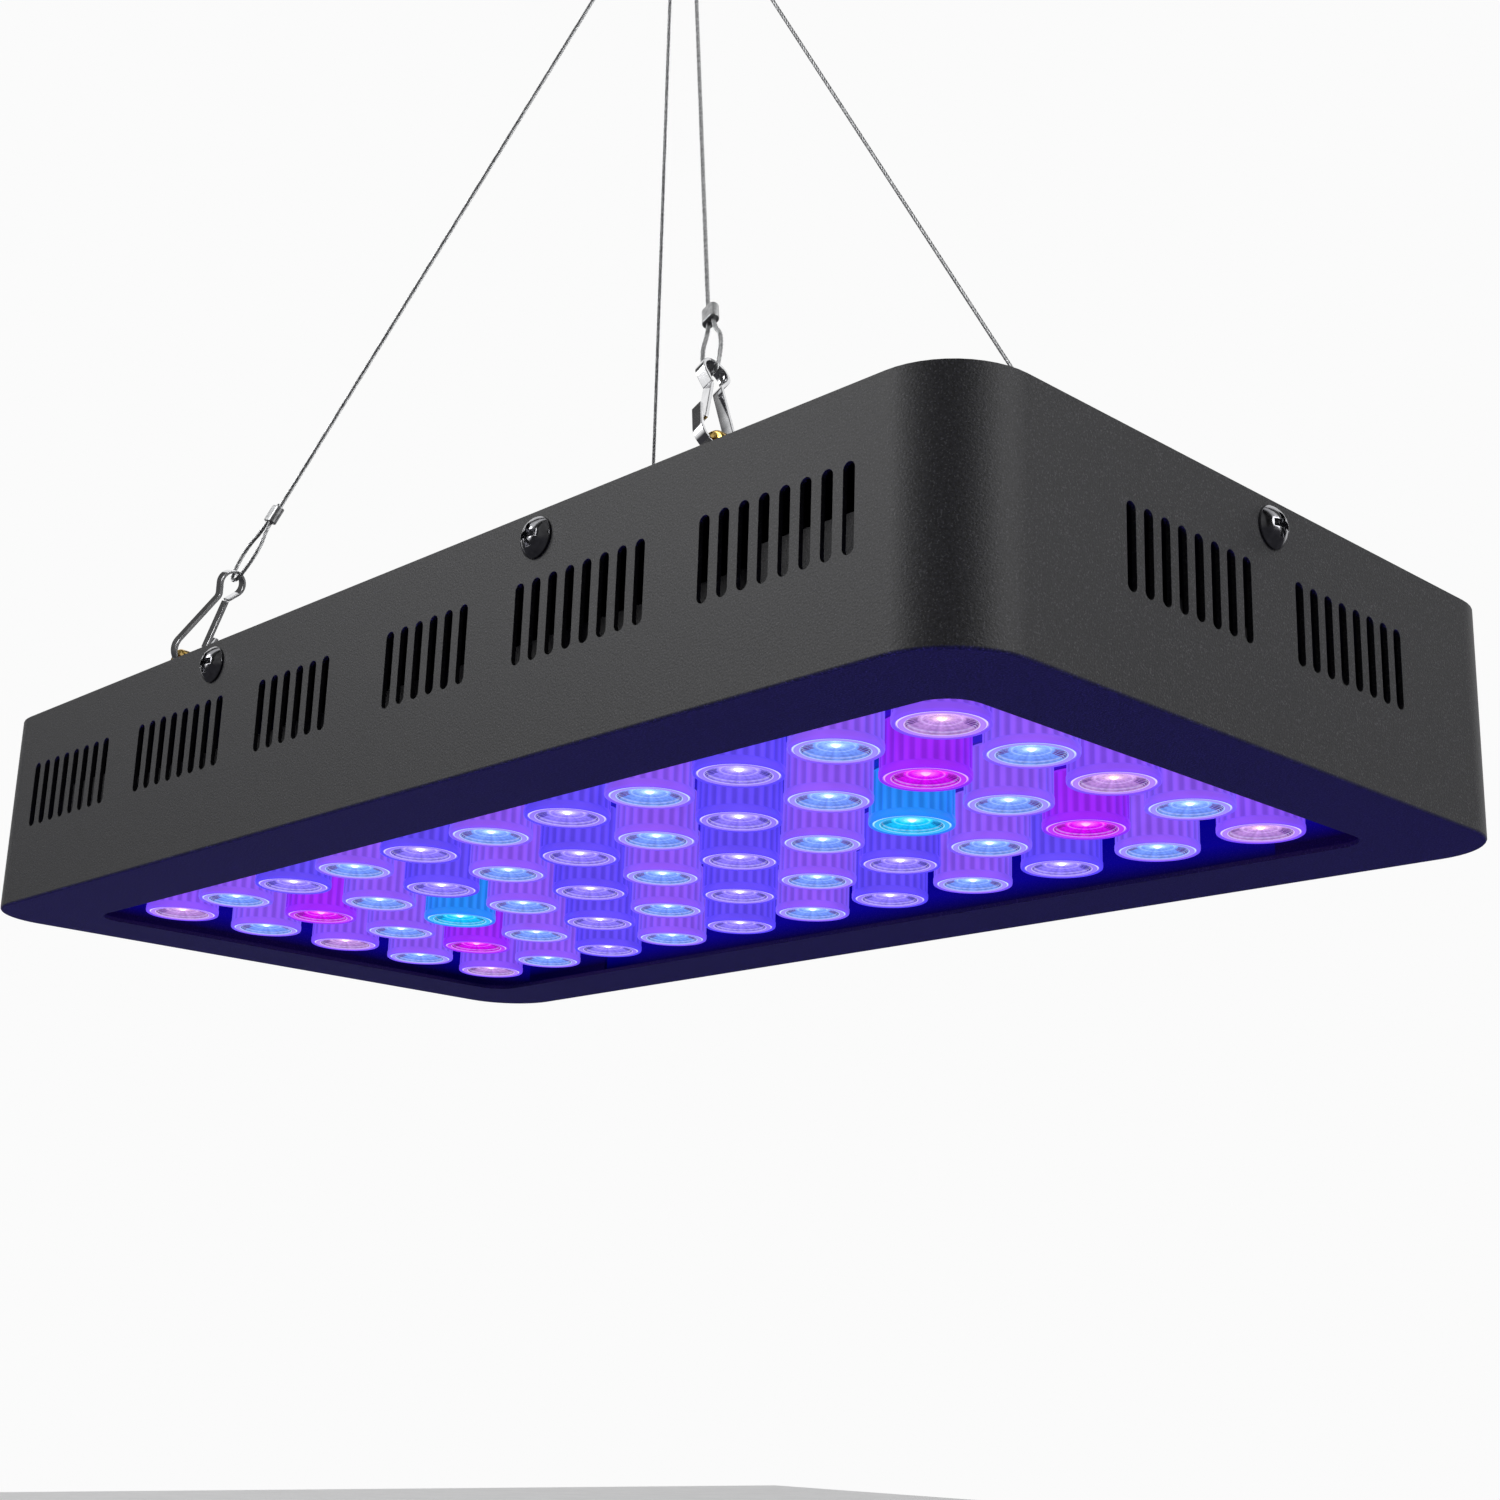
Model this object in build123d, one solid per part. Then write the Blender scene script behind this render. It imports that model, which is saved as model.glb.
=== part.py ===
from build123d import *
from math import acos, asin, atan2, cos, hypot, pi, radians, sin, tan
import os

os.makedirs("parts", exist_ok=True)

# An aquarium reef light: a black sheet-metal case with 55 lensed LEDs in its window, hung by four
# short wire ropes from one steel ring. Millimetres, +Z up. The origin is the inside of the ring's
# top, where the ceiling hook bears. Everything is drawn from the middle of the case's bottom face
# and moved at the end, because the ring hangs a little towards the heavier end, at RING_X.

# ---- case
LENGTH = 400.0
DEPTH = 212.0
HEIGHT = 60.0
CORNER_R = 20.0
SHEET = 1.2
WINDOW_X = 350.8
WINDOW_Y = 159.7
WINDOW_R = 8.8
EDGE_R = 0.8

# ---- hanging ring and ropes
WIRE_RISE = 340.0
RING_X = -11.0
RING_WIRE_R = 1.6
RING_BAR = 22.0
RING_SIDE = 9.0
RING_CORNER_R = 3.0
RING_TOP_R = RING_BAR / 2
BAR_Z = -(RING_SIDE + RING_TOP_R - RING_WIRE_R)
LAMP_Z = BAR_Z - WIRE_RISE
ROPE_R = 0.6
ROPE_SPACING = 2.7
LEG_GAP = 0.75
LOWER_LOOP_R = 2.45
UPPER_LOOP_R = 2.8
LOOP_LENGTH = 18.4
LOOP_MOUTH = 2.5
LOOP_MIDDLE = 9.0
LOOP_SWELL = 3.9
FERRULE_LENGTH = 5.5
FERRULE_WIDTH = 4.9
FERRULE_THICK = 2.8
FERRULE_ROUND = 0.35
ROPE_END = 1.0

# ---- snap hooks and brass anchors
ANCHOR_X = 115.5
ANCHOR_Y = 91.7
ANCHOR_AF = 8.0
ANCHOR_BASE = 2.4
ANCHOR_EYE_R = 4.7
ANCHOR_HOLE_R = 2.6
ANCHOR_EYE_THICK = 3.2
ANCHOR_EYE_Z = HEIGHT + ANCHOR_BASE + 4.0
HOOK_SEAT_Z = ANCHOR_EYE_Z + 0.35
ANCHOR_STUD_R = 1.95
ANCHOR_STUD_LENGTH = 6.0
ANCHOR_EYE_ROUND = 0.7
ANCHOR_NUT_AF = 7.0
ANCHOR_NUT_THICK = 3.0
STRIP_WIDTH = 3.2
STRIP_THICK = 0.9
HOOK_EYE_R = 3.65
HOOK_NECK = 1.4
HOOK_NECK_A = 23.6
HOOK_NECK_R = 2.5
HOOK_BOW_R = 5.0
HOOK_EYE_A = 28.6
HOOK_TAB_A = 12.3
LATCH_L = 3.65
LATCH_A = 8.0
LATCH_GAP = 0.35

# ---- slots and case screws
SLOT_WIDTH = 3.25
SLOT_HEIGHT = 20.0
SLOT_PITCH = 6.02
SLOT_Z = 33.2
LONG_GROUPS = [(29.25, 6), (86.75, 8), (149.5, 8)]
END_GROUP_Y = 31.5
END_GROUP_COUNT = 8
SCREW_Z = 53.2
SCREW_X = 71.0
SCREW_R = 2.4

# Cross-head screws: head radius, rim height, head height, shank radius, shank length, recess width.
CASE_SCREW_SIZE = (5.15, 0.6, 3.4, SCREW_R, 9.0, 5.6)
FAN_SCREW_SIZE = (3.3, 0.5, 2.2, 1.8, 19.0, 3.2)
BOARD_SCREW_SIZE = (2.8, 0.4, 1.7, 1.4, 4.6, 2.7)
DRIVER_SCREW_SIZE = (2.9, 0.4, 1.8, 1.4, 6.0, 2.8)
INLET_SCREW_SIZE = (2.8, 0.4, 1.7, 1.45, 8.0, 2.7)
# A recess is this many times as wide as one arm of its cross.
RECESS_ARM = 3.4
SCREW_HOLE_R = 1.6
TAPPED_HOLE_R = 1.45

# ---- lid and fans
LID_GAP = 0.4
LID_FLANGE = 12.0
FAN_X = 112.0
FAN_SIZE = 80.0
FAN_THICK = 15.0
FAN_BORE_R = 38.0
FAN_HOLES = 71.5
FAN_HOLE_R = 2.15
FAN_HUB_R = 16.0
FAN_BLADES = 7
FAN_TIP_R = 36.6
FAN_PIN_R = 2.0
FAN_PIN_LENGTH = 9.0
FAN_CORNER_R = 4.0
FAN_HUB_PLATE = 2.0
FAN_HUB_ROUND = 1.2
FAN_STRUT = (3.0, 1.6)
FAN_BLADE_PITCH = 42.0
FAN_BLADE_THICK = 1.3
FAN_BLADE_LENGTH = 25.0
FAN_CLEAR = (0.6, 1.2)
GUARD_WIRE_R = 0.8
GUARD_RINGS = [12.0, 20.0, 28.0, 36.0]
GUARD_LUG_R = 3.2

# ---- optics
COLUMNS = 11
ROWS = 5
PITCH_X = 31.13
PITCH_Y = 30.19
FACE_Z = 1.7
CUP_HEIGHT = 13.5
CUP_R = 10.8
COLLAR_R = 11.0
COLLAR_HEIGHT = 2.0
CUP_WALL = 1.2
CUP_ROOF = 1.5
CUP_MOUTH_R = 6.0
OPTIC_FACE_R = 9.0
OPTIC_BASE_R = 4.4
OPTIC_SET_BACK = 0.6
OPTIC_TOP_GAP = 2.2
OPTIC_RIM = 1.2
POCKET_R = 2.9
POCKET_DEPTH = 3.0
DISH_R = 4.2
DISH_DEPTH = 0.8
LED_BASE = 6.0
LED_BASE_HEIGHT = 1.0
LED_DOME_R = 2.2
BOARD_Z = FACE_Z + CUP_HEIGHT
BOARD = (356.0, 168.0, 1.6)
BOARD_CORNER_R = 6.0
SINK = (372.0, 188.0, 4.0)
SINK_CORNER_R = 4.0
FIN_MARGIN = 5.0
FIN_HEIGHT = 16.0
FIN_THICK = 1.6
FIN_COUNT = 22
FIN_X = (-164.0, 184.0)

# ---- corner brackets under the heat sink
BRACKET_X = (137.0, 179.0)
BRACKET_WEB_Y = 97.2
BRACKET_TOP = 37.0
BRACKET_SHELF = 11.0
BRACKET_FOOT = 7.2

# ---- left end: inlets and dimmers
INLET_Y = 55.0
PANEL_Z = 33.0
INLET_BODY = (20.0, 27.0, 19.4)
INLET_PLATE = (3.0, 48.0, 22.6)
INLET_SCREW_Y = 20.0
INLET_RECESS = (16.0, 24.0, 15.6)
INLET_CORNER_R = 4.0
INLET_CHAMFER = 5.0
PIN = (28.0, 2.0, 4.0)
DIMMER_Y = 12.0
KNOB_R = 8.6
KNOB_LENGTH = 14.0
SHAFT_R = 2.95
BUSH_R = 3.5
POT_R = 8.0
POT_LENGTH = 9.0
NUT_AF = 10.0
NUT_THICK = 2.4
BUSH_BEYOND_NUT = 0.7
SHAFT_IN_POT = 7.0
KNOB_TAPER = 1.0
KNOB_ROUND = 1.2
KNOB_FLUTES = 18
KNOB_FLUTE_R = 0.9
KNOB_HOLLOW = 3.0
KNOB_HOLLOW_R = 5.45
POINTER_WIDTH = 1.0

# ---- drivers and terminal block under the lid
DRIVER = (108.0, 44.0, 18.0)
DRIVER_Y = 26.0
DRIVER_EAR = 9.0
DRIVER_EAR_THICK = 1.5
DRIVER_ROUND = 1.2
BLOCK = (20.0, 60.0, 11.0)
BLOCK_X = -168.0
BLOCK_POLES = 6
BLOCK_PITCH = 9.6
BLOCK_HOLE = (2.4, 5.0)

LID_UNDER = HEIGHT - SHEET
WALL_X = LENGTH / 2
WALL_Y = DEPTH / 2
UP = Vector(0, 0, 1)


def prism(length, width, radius, low, high):
    """Upright prism with a rounded-rectangle plan."""
    return Pos(0, 0, low) * extrude(RectangleRounded(length, width, radius), high - low)


def block(x, y, z):
    """Box from its three (low, high) pairs."""
    size = (x[1] - x[0], y[1] - y[0], z[1] - z[0])
    return Pos((x[0] + x[1]) / 2, (y[0] + y[1]) / 2, (z[0] + z[1]) / 2) * Box(*size)


def disc(radius, low, high, x=0.0, y=0.0):
    """Upright cylinder from one height to another."""
    return Pos(x, y, (low + high) / 2) * Cylinder(radius, high - low)


def corners(x, y):
    return [(sx * x, sy * y) for sx in (-1, 1) for sy in (-1, 1)]


def save(name, solids):
    """Write one node, moved into the ring's frame. Its solids stay separate."""
    shapes = solids if isinstance(solids, list) else [solids]
    placed = [Pos(-RING_X, 0, LAMP_Z) * shape for shape in shapes]
    parts = [solid for shape in placed for solid in shape.solids()]
    whole = parts[0] if len(parts) == 1 else Compound(children=parts)
    export_step(whole, f"parts/{name}.step")


# ---- fasteners


def cross_recess(width, arm, depth):
    return Box(width, arm, depth * 2) + Box(arm, width, depth * 2)


def truss_screw(head_r, rim, head_height, shank_r, length, recess):
    """Domed cross-head screw, its head seated at Z = 0 and its shank pointing down."""
    cap = head_height - rim
    radius = (head_r**2 + cap**2) / (2 * cap)
    half = asin(head_r / radius) / 2
    middle = (radius * sin(half), head_height - radius * (1 - cos(half)))
    outline = Polyline((0, head_height), (0, 0), (head_r, 0), (head_r, rim))
    outline += ThreePointArc((head_r, rim), middle, (0, head_height))
    head = revolve(Plane.XZ * make_face(outline), Axis.Z)
    head -= Pos(0, 0, head_height) * cross_recess(recess, recess / RECESS_ARM, head_height * 0.55)
    return head + disc(shank_r, -length, 0)


CASE_SCREW = truss_screw(*CASE_SCREW_SIZE)
FACING = {
    "front": Plane((0, -WALL_Y, 0), x_dir=(1, 0, 0), z_dir=(0, -1, 0)),
    "back": Plane((0, WALL_Y, 0), x_dir=(-1, 0, 0), z_dir=(0, 1, 0)),
    "right": Plane((WALL_X, 0, 0), x_dir=(0, 1, 0), z_dir=(1, 0, 0)),
    "left": Plane((-WALL_X, 0, 0), x_dir=(0, -1, 0), z_dir=(-1, 0, 0)),
}
CASE_SCREWS = [("front", -SCREW_X), ("front", SCREW_X), ("back", -SCREW_X), ("back", SCREW_X)]
CASE_SCREWS += [("right", 0.0), ("left", 0.0)]


def at_wall(wall, along, height):
    """Place on a wall, its Z pointing out of the case."""
    plane = FACING[wall]
    return Location(Plane(plane.origin + plane.x_dir * along + UP * height, plane.x_dir, plane.z_dir))


# ---- case, lid and brackets


def slot_row(centre, count):
    """Upright round-ended slots, cut along the plane's normal."""
    slot = Rot(0, 0, 90) * SlotOverall(SLOT_HEIGHT, SLOT_WIDTH)
    first = centre - (count - 1) / 2 * SLOT_PITCH
    return [Pos(first + i * SLOT_PITCH, 0) * slot for i in range(count)]


def case_shell():
    outer = prism(LENGTH, DEPTH, CORNER_R, 0, HEIGHT)
    outer = fillet(outer.faces().sort_by(Axis.Z)[0].edges(), EDGE_R)
    case = outer - prism(LENGTH - 2 * SHEET, DEPTH - 2 * SHEET, CORNER_R - SHEET, SHEET, HEIGHT)
    case -= prism(WINDOW_X, WINDOW_Y, WINDOW_R, -1, 2 * SHEET)
    groups = [(sign * centre, count) for centre, count in LONG_GROUPS for sign in (-1, 1)]
    slots = [slot for centre, count in groups for slot in slot_row(centre, count)]
    side = Plane((0, 0, SLOT_Z), x_dir=(1, 0, 0), z_dir=(0, -1, 0))
    for slot in slots:
        case -= extrude(side * slot, DEPTH, both=True)
    end = Plane((WALL_X, 0, SLOT_Z), x_dir=(0, 1, 0), z_dir=(1, 0, 0))
    for centre in (-END_GROUP_Y, END_GROUP_Y):
        for slot in slot_row(centre, END_GROUP_COUNT):
            case -= extrude(end * slot, 2 * SHEET, both=True)
    for wall, along in CASE_SCREWS:
        case -= at_wall(wall, along, SCREW_Z) * Cylinder(SCREW_R + 0.2, 4 * SHEET)
    for sign in (-1, 1):
        opening = (INLET_BODY[1] / 2 + 0.2, INLET_BODY[2] / 2 + 0.2)
        y = sign * INLET_Y
        case -= block((-WALL_X - 1, -WALL_X + 2), (y - opening[0], y + opening[0]),
                      (PANEL_Z - opening[1], PANEL_Z + opening[1]))
        case -= at_wall("left", -sign * DIMMER_Y, PANEL_Z) * Cylinder(BUSH_R + 0.1, 4 * SHEET)
        for ear in (-INLET_SCREW_Y, INLET_SCREW_Y):
            case -= at_wall("left", -y + ear, PANEL_Z) * Cylinder(SCREW_HOLE_R + 0.1, 4 * SHEET)
    return case


def fan_places():
    return [Pos(sign * FAN_X, 0, 0) for sign in (-1, 1)]


DRIVER_SCREWS = [(sx * (DRIVER[0] + DRIVER_EAR) / 2, sy * DRIVER_Y) for sx in (-1, 1) for sy in (-1, 1)]


def top_lid():
    shrink = SHEET + LID_GAP
    lid = prism(LENGTH - 2 * shrink, DEPTH - 2 * shrink, CORNER_R - shrink, HEIGHT - LID_FLANGE, HEIGHT)
    shrink += SHEET
    lid -= prism(LENGTH - 2 * shrink, DEPTH - 2 * shrink, CORNER_R - shrink,
                 HEIGHT - LID_FLANGE - 1, LID_UNDER)
    for place in fan_places():
        lid -= place * disc(FAN_BORE_R, LID_UNDER - 1, HEIGHT + 1)
        for x, y in corners(FAN_HOLES / 2, FAN_HOLES / 2):
            lid -= place * disc(FAN_HOLE_R, LID_UNDER - 1, HEIGHT + 1, x, y)
    for x, y in corners(ANCHOR_X, ANCHOR_Y):
        lid -= disc(ANCHOR_STUD_R + 0.1, LID_UNDER - 1, HEIGHT + 1, x, y)
    for x, y in DRIVER_SCREWS:
        lid -= disc(SCREW_HOLE_R, LID_UNDER - 1, HEIGHT + 1, x, y)
    for wall, along in CASE_SCREWS:
        lid -= at_wall(wall, along, SCREW_Z) * Cylinder(SCREW_R + 0.05, 8 * SHEET)
    return lid


def corner_brackets():
    """Folded sheet brackets: foot on the case's lip, shelf under the heat sink, tall web."""
    web = block(BRACKET_X, (-BRACKET_WEB_Y, -BRACKET_WEB_Y + SHEET), (SHEET, BRACKET_TOP))
    foot = block(BRACKET_X, (-BRACKET_WEB_Y - BRACKET_FOOT, -BRACKET_WEB_Y), (SHEET, 2 * SHEET))
    shelf_top = BOARD_Z + BOARD[2]
    shelf_y = (-BRACKET_WEB_Y, -BRACKET_WEB_Y + BRACKET_SHELF)
    shelf = block(BRACKET_X, shelf_y, (shelf_top - SHEET, shelf_top))
    bracket = web + foot + shelf
    front = [bracket, mirror(bracket, Plane.YZ)]
    return front + [mirror(part, Plane.XZ) for part in front]


# ---- optics

PLACES = [((c - (COLUMNS + 1) / 2) * PITCH_X, (r - (ROWS + 1) / 2) * PITCH_Y, c, r)
          for r in range(1, ROWS + 1) for c in range(1, COLUMNS + 1)]


def colour_of(column, row):
    """Chequered blue and white, with warm white at the ends and red and cyan inside them."""
    from_end = min(column, COLUMNS + 1 - column)
    if (column + row) % 2 == 1:
        return "blue"
    if from_end == 1:
        return "warm_white"
    if from_end == 2:
        return "red"
    if from_end == 3 and row == 3:
        return "cyan"
    return "cool_white"


def lens_cup():
    """Ribbed holder's plain form: a tube with a wider collar round the face."""
    cup = disc(CUP_R, FACE_Z, BOARD_Z) + disc(COLLAR_R, FACE_Z, FACE_Z + COLLAR_HEIGHT)
    inner = CUP_R - CUP_WALL
    return cup - disc(inner, FACE_Z - 1, BOARD_Z - CUP_ROOF) - disc(CUP_MOUTH_R, BOARD_Z - 3, BOARD_Z + 1)


def lens_optic():
    """Solid cone that gathers the light, hollowed over the LED and dished in its face."""
    low = FACE_Z + OPTIC_SET_BACK
    high = BOARD_Z - OPTIC_TOP_GAP
    cone = Pos(0, 0, (low + high) / 2) * Cone(OPTIC_FACE_R, OPTIC_BASE_R, high - low)
    rim = disc(CUP_R - CUP_WALL - 0.05, low, low + OPTIC_RIM)
    pocket = disc(POCKET_R, high - POCKET_DEPTH, high + 1)
    return cone + rim - pocket - disc(DISH_R, low - 1, low + DISH_DEPTH)


def led():
    """Star-mounted LED: square base and round dome."""
    low = BOARD_Z - LED_BASE_HEIGHT
    half = LED_BASE / 2
    base = block((-half, half), (-half, half), (low, BOARD_Z))
    dome = Pos(0, 0, low) * (Sphere(LED_DOME_R) & Pos(0, 0, -half / 2) * Box(LED_BASE, LED_BASE, half))
    return base + dome


def led_board():
    board = prism(BOARD[0], BOARD[1], BOARD_CORNER_R, BOARD_Z, BOARD_Z + BOARD[2])
    for x, y in BOARD_SCREWS:
        board -= disc(SCREW_HOLE_R, BOARD_Z - 1, BOARD_Z + 3, x, y)
    return board


BOARD_SCREWS = [(sx * k * PITCH_X, sy * 1.5 * PITCH_Y) for k in (0.5, 2.5, 4.5)
                for sx in (-1, 1) for sy in (-1, 1)]


def heat_sink():
    base_z = BOARD_Z + BOARD[2]
    sink = prism(SINK[0], SINK[1], SINK_CORNER_R, base_z, base_z + SINK[2])
    span = SINK[1] - 2 * FIN_MARGIN
    for i in range(FIN_COUNT):
        y = -span / 2 + i * span / (FIN_COUNT - 1)
        sink += block(FIN_X, (y - FIN_THICK / 2, y + FIN_THICK / 2),
                      (base_z + SINK[2] - 0.01, base_z + SINK[2] + FIN_HEIGHT))
    for x, y in BOARD_SCREWS:
        sink -= disc(TAPPED_HOLE_R, base_z - 1, base_z + SINK[2] - 0.5, x, y)
    return sink


# ---- fans

FAN_LOW = LID_UNDER - FAN_THICK


def fan_frame():
    frame = prism(FAN_SIZE, FAN_SIZE, FAN_CORNER_R, FAN_LOW, LID_UNDER)
    frame -= disc(FAN_BORE_R, FAN_LOW - 1, HEIGHT)
    for x, y in corners(FAN_HOLES / 2, FAN_HOLES / 2):
        frame -= disc(FAN_HOLE_R, FAN_LOW - 1, HEIGHT, x, y)
    frame += disc(FAN_HUB_R, FAN_LOW, FAN_LOW + FAN_HUB_PLATE)
    for angle in (45, 135):
        strut = Rot(0, 0, angle) * Box(2 * FAN_BORE_R + 2, *FAN_STRUT)
        frame += Pos(0, 0, FAN_LOW + FAN_STRUT[1] / 2) * strut
    return frame + disc(FAN_PIN_R, FAN_LOW, FAN_LOW + FAN_PIN_LENGTH)


def fan_rotor():
    low = FAN_LOW + FAN_HUB_PLATE + FAN_CLEAR[0]
    high = LID_UNDER - FAN_CLEAR[1]
    middle = (low + high) / 2
    rotor = disc(FAN_HUB_R, low, high)
    rotor = fillet(rotor.faces().sort_by(Axis.Z)[-1].edges(), FAN_HUB_ROUND)
    width = (high - low) / sin(radians(FAN_BLADE_PITCH)) + 4
    reach = FAN_HUB_R - 2 + FAN_BLADE_LENGTH / 2
    for i in range(FAN_BLADES):
        blade = Rot(FAN_BLADE_PITCH, 0, 0) * Box(FAN_BLADE_LENGTH, width, FAN_BLADE_THICK)
        blade = Pos(reach, 0, 0) * blade
        ring = Cylinder(FAN_TIP_R, high - low)
        rotor += Pos(0, 0, middle) * Rot(0, 0, i * 360 / FAN_BLADES) * (blade & ring)
    return rotor - disc(FAN_PIN_R + 0.05, low - 1, FAN_LOW + FAN_PIN_LENGTH + 0.4)


def finger_guard():
    ring_z = HEIGHT + GUARD_WIRE_R
    guard = Pos(0, 0, ring_z) * Torus(GUARD_RINGS[0], GUARD_WIRE_R)
    for radius in GUARD_RINGS[1:]:
        guard += Pos(0, 0, ring_z) * Torus(radius, GUARD_WIRE_R)
    reach = hypot(FAN_HOLES / 2, FAN_HOLES / 2) - GUARD_LUG_R - GUARD_WIRE_R / 3
    for angle in (45, 135):
        wire = Rot(0, 0, angle) * Rot(0, 90, 0) * Cylinder(GUARD_WIRE_R, 2 * reach)
        guard += Pos(0, 0, ring_z + GUARD_WIRE_R * 0.8) * wire
    for x, y in corners(FAN_HOLES / 2, FAN_HOLES / 2):
        guard += Pos(x, y, ring_z) * Torus(GUARD_LUG_R, GUARD_WIRE_R)
    return guard


def fan_screws():
    seat = HEIGHT + 2 * GUARD_WIRE_R + 0.05
    screw = truss_screw(*FAN_SCREW_SIZE)
    return [place * Pos(x, y, seat) * screw for place in fan_places()
            for x, y in corners(FAN_HOLES / 2, FAN_HOLES / 2)]


# ---- drivers and wiring


def led_driver(sign):
    top = LID_UNDER
    y = sign * DRIVER_Y
    half = DRIVER[0] / 2
    body = block((-half, half), (y - DRIVER[1] / 2, y + DRIVER[1] / 2), (top - DRIVER[2], top))
    body = fillet(body.edges().filter_by(Axis.X), DRIVER_ROUND)
    for side in (-1, 1):
        ends = sorted((side * half - side, side * (half + DRIVER_EAR)))
        body += block(ends, (y - DRIVER_EAR, y + DRIVER_EAR), (top - DRIVER_EAR_THICK, top))
    for x, hole_y in DRIVER_SCREWS:
        body -= disc(TAPPED_HOLE_R, top - 3, top + 1, x, hole_y)
    return body


def driver_screws():
    screw = truss_screw(*DRIVER_SCREW_SIZE)
    return [Pos(x, y, HEIGHT) * screw for x, y in DRIVER_SCREWS]


def terminal_block():
    low = LID_UNDER - BLOCK[2]
    body = block((BLOCK_X - BLOCK[0] / 2, BLOCK_X + BLOCK[0] / 2), (-BLOCK[1] / 2, BLOCK[1] / 2),
                 (low, LID_UNDER))
    for i in range(BLOCK_POLES):
        y = (i - (BLOCK_POLES - 1) / 2) * BLOCK_PITCH
        body -= Pos(BLOCK_X, y, low) * Cylinder(*BLOCK_HOLE)
    return body


# ---- left end


def from_left(low, high):
    """Range along X from distances behind the left end's outer face."""
    return (-WALL_X + low, -WALL_X + high)


def power_inlet(sign):
    y = sign * INLET_Y
    half_y = INLET_BODY[1] / 2
    half_z = INLET_BODY[2] / 2
    body_x = from_left(-1, INLET_BODY[0])
    inlet = block(body_x, (y - half_y, y + half_y), (PANEL_Z - half_z, PANEL_Z + half_z))
    plate = Pos(-WALL_X - INLET_PLATE[0] / 2, y, PANEL_Z) * Box(*INLET_PLATE)
    inlet += fillet(plate.edges().filter_by(Axis.X), INLET_CORNER_R)
    recess = Pos(-WALL_X - INLET_PLATE[0] + INLET_RECESS[0] / 2, y, PANEL_Z) * Box(*INLET_RECESS)
    chamfered = recess.edges().filter_by(Axis.X).group_by(Axis.Z)[0]
    inlet -= chamfer(chamfered, INLET_CHAMFER)
    for ear in (-INLET_SCREW_Y, INLET_SCREW_Y):
        inlet -= at_wall("left", -y + ear, PANEL_Z) * Cylinder(SCREW_HOLE_R, 10)
    for dy, dz in PIN_PLACES:
        inlet -= Pos(-WALL_X + INLET_BODY[0], y + dy, PANEL_Z + dz) * Box(INLET_BODY[0], *PIN[1:])
    return inlet


PIN_PLACES = [(-7.0, 2.0), (7.0, 2.0), (0.0, -2.0)]


def inlet_pins():
    """Three flat contacts in each inlet, with their tabs behind."""
    pins = []
    for sign in (-1, 1):
        for dy, dz in PIN_PLACES:
            pin = block(from_left(0, PIN[0]), (-PIN[1] / 2, PIN[1] / 2), (-PIN[2] / 2, PIN[2] / 2))
            pins.append(Pos(0, sign * INLET_Y + dy, PANEL_Z + dz) * pin)
    return pins


def inlet_screws():
    screw = truss_screw(*INLET_SCREW_SIZE)
    places = [sign * INLET_Y + ear for sign in (-1, 1) for ear in (-INLET_SCREW_Y, INLET_SCREW_Y)]
    return [at_wall("left", y, PANEL_Z) * Pos(0, 0, INLET_PLATE[0]) * screw for y in places]


def dimmer(sign):
    """Wall place of one dimmer, its Z pointing out of the left end."""
    return at_wall("left", sign * DIMMER_Y, PANEL_Z)


def dimmer_pot(sign):
    back = -SHEET - 0.1
    pot = disc(POT_R, back - POT_LENGTH, back)
    bush = disc(BUSH_R, back, NUT_THICK + BUSH_BEYOND_NUT)
    bore = disc(SHAFT_R + 0.05, back - POT_LENGTH - 1, NUT_THICK + 2)
    return dimmer(sign) * (pot + bush - bore)


def pot_nut(sign):
    nut = extrude(RegularPolygon(NUT_AF / 2, 6, major_radius=False), NUT_THICK)
    return dimmer(sign) * (nut - Cylinder(BUSH_R + 0.02, 3 * NUT_THICK))


def pot_shaft(sign):
    return dimmer(sign) * disc(SHAFT_R, -SHAFT_IN_POT, KNOB_LENGTH)


def dimmer_knob(sign):
    """Fluted knob with a pointer groove, bored for its shaft."""
    low = NUT_THICK + BUSH_BEYOND_NUT + 0.4
    knob = Pos(0, 0, low + KNOB_LENGTH / 2) * Cone(KNOB_R, KNOB_R - KNOB_TAPER, KNOB_LENGTH)
    knob = fillet(knob.faces().sort_by(Axis.Z)[-1].edges(), KNOB_ROUND)
    for i in range(KNOB_FLUTES):
        groove = disc(KNOB_FLUTE_R, low - 1, low + KNOB_LENGTH + 1, KNOB_R + KNOB_FLUTE_R / 2)
        knob -= Rot(0, 0, (i + 0.5) * 360 / KNOB_FLUTES) * groove
    pointer = Pos(KNOB_R / 2, 0, low + KNOB_LENGTH) * Box(KNOB_R - 2, POINTER_WIDTH, POINTER_WIDTH)
    hollow = Pos(0, 0, low) * Cylinder(KNOB_HOLLOW_R, KNOB_HOLLOW)
    bore = Pos(0, 0, (KNOB_LENGTH + 0.02) / 2) * Cylinder(SHAFT_R, KNOB_LENGTH + 0.02)
    return dimmer(sign) * (knob - pointer - hollow - bore)


# ---- hanging gear

CORNERS = {
    "front_left": (-1, -1, 2.0, 1),
    "front_right": (1, -1, 2.0, -1),
    "back_left": (-1, 1, 1.0, -1),
    "back_right": (1, 1, 1.0, 1),
}


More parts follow.
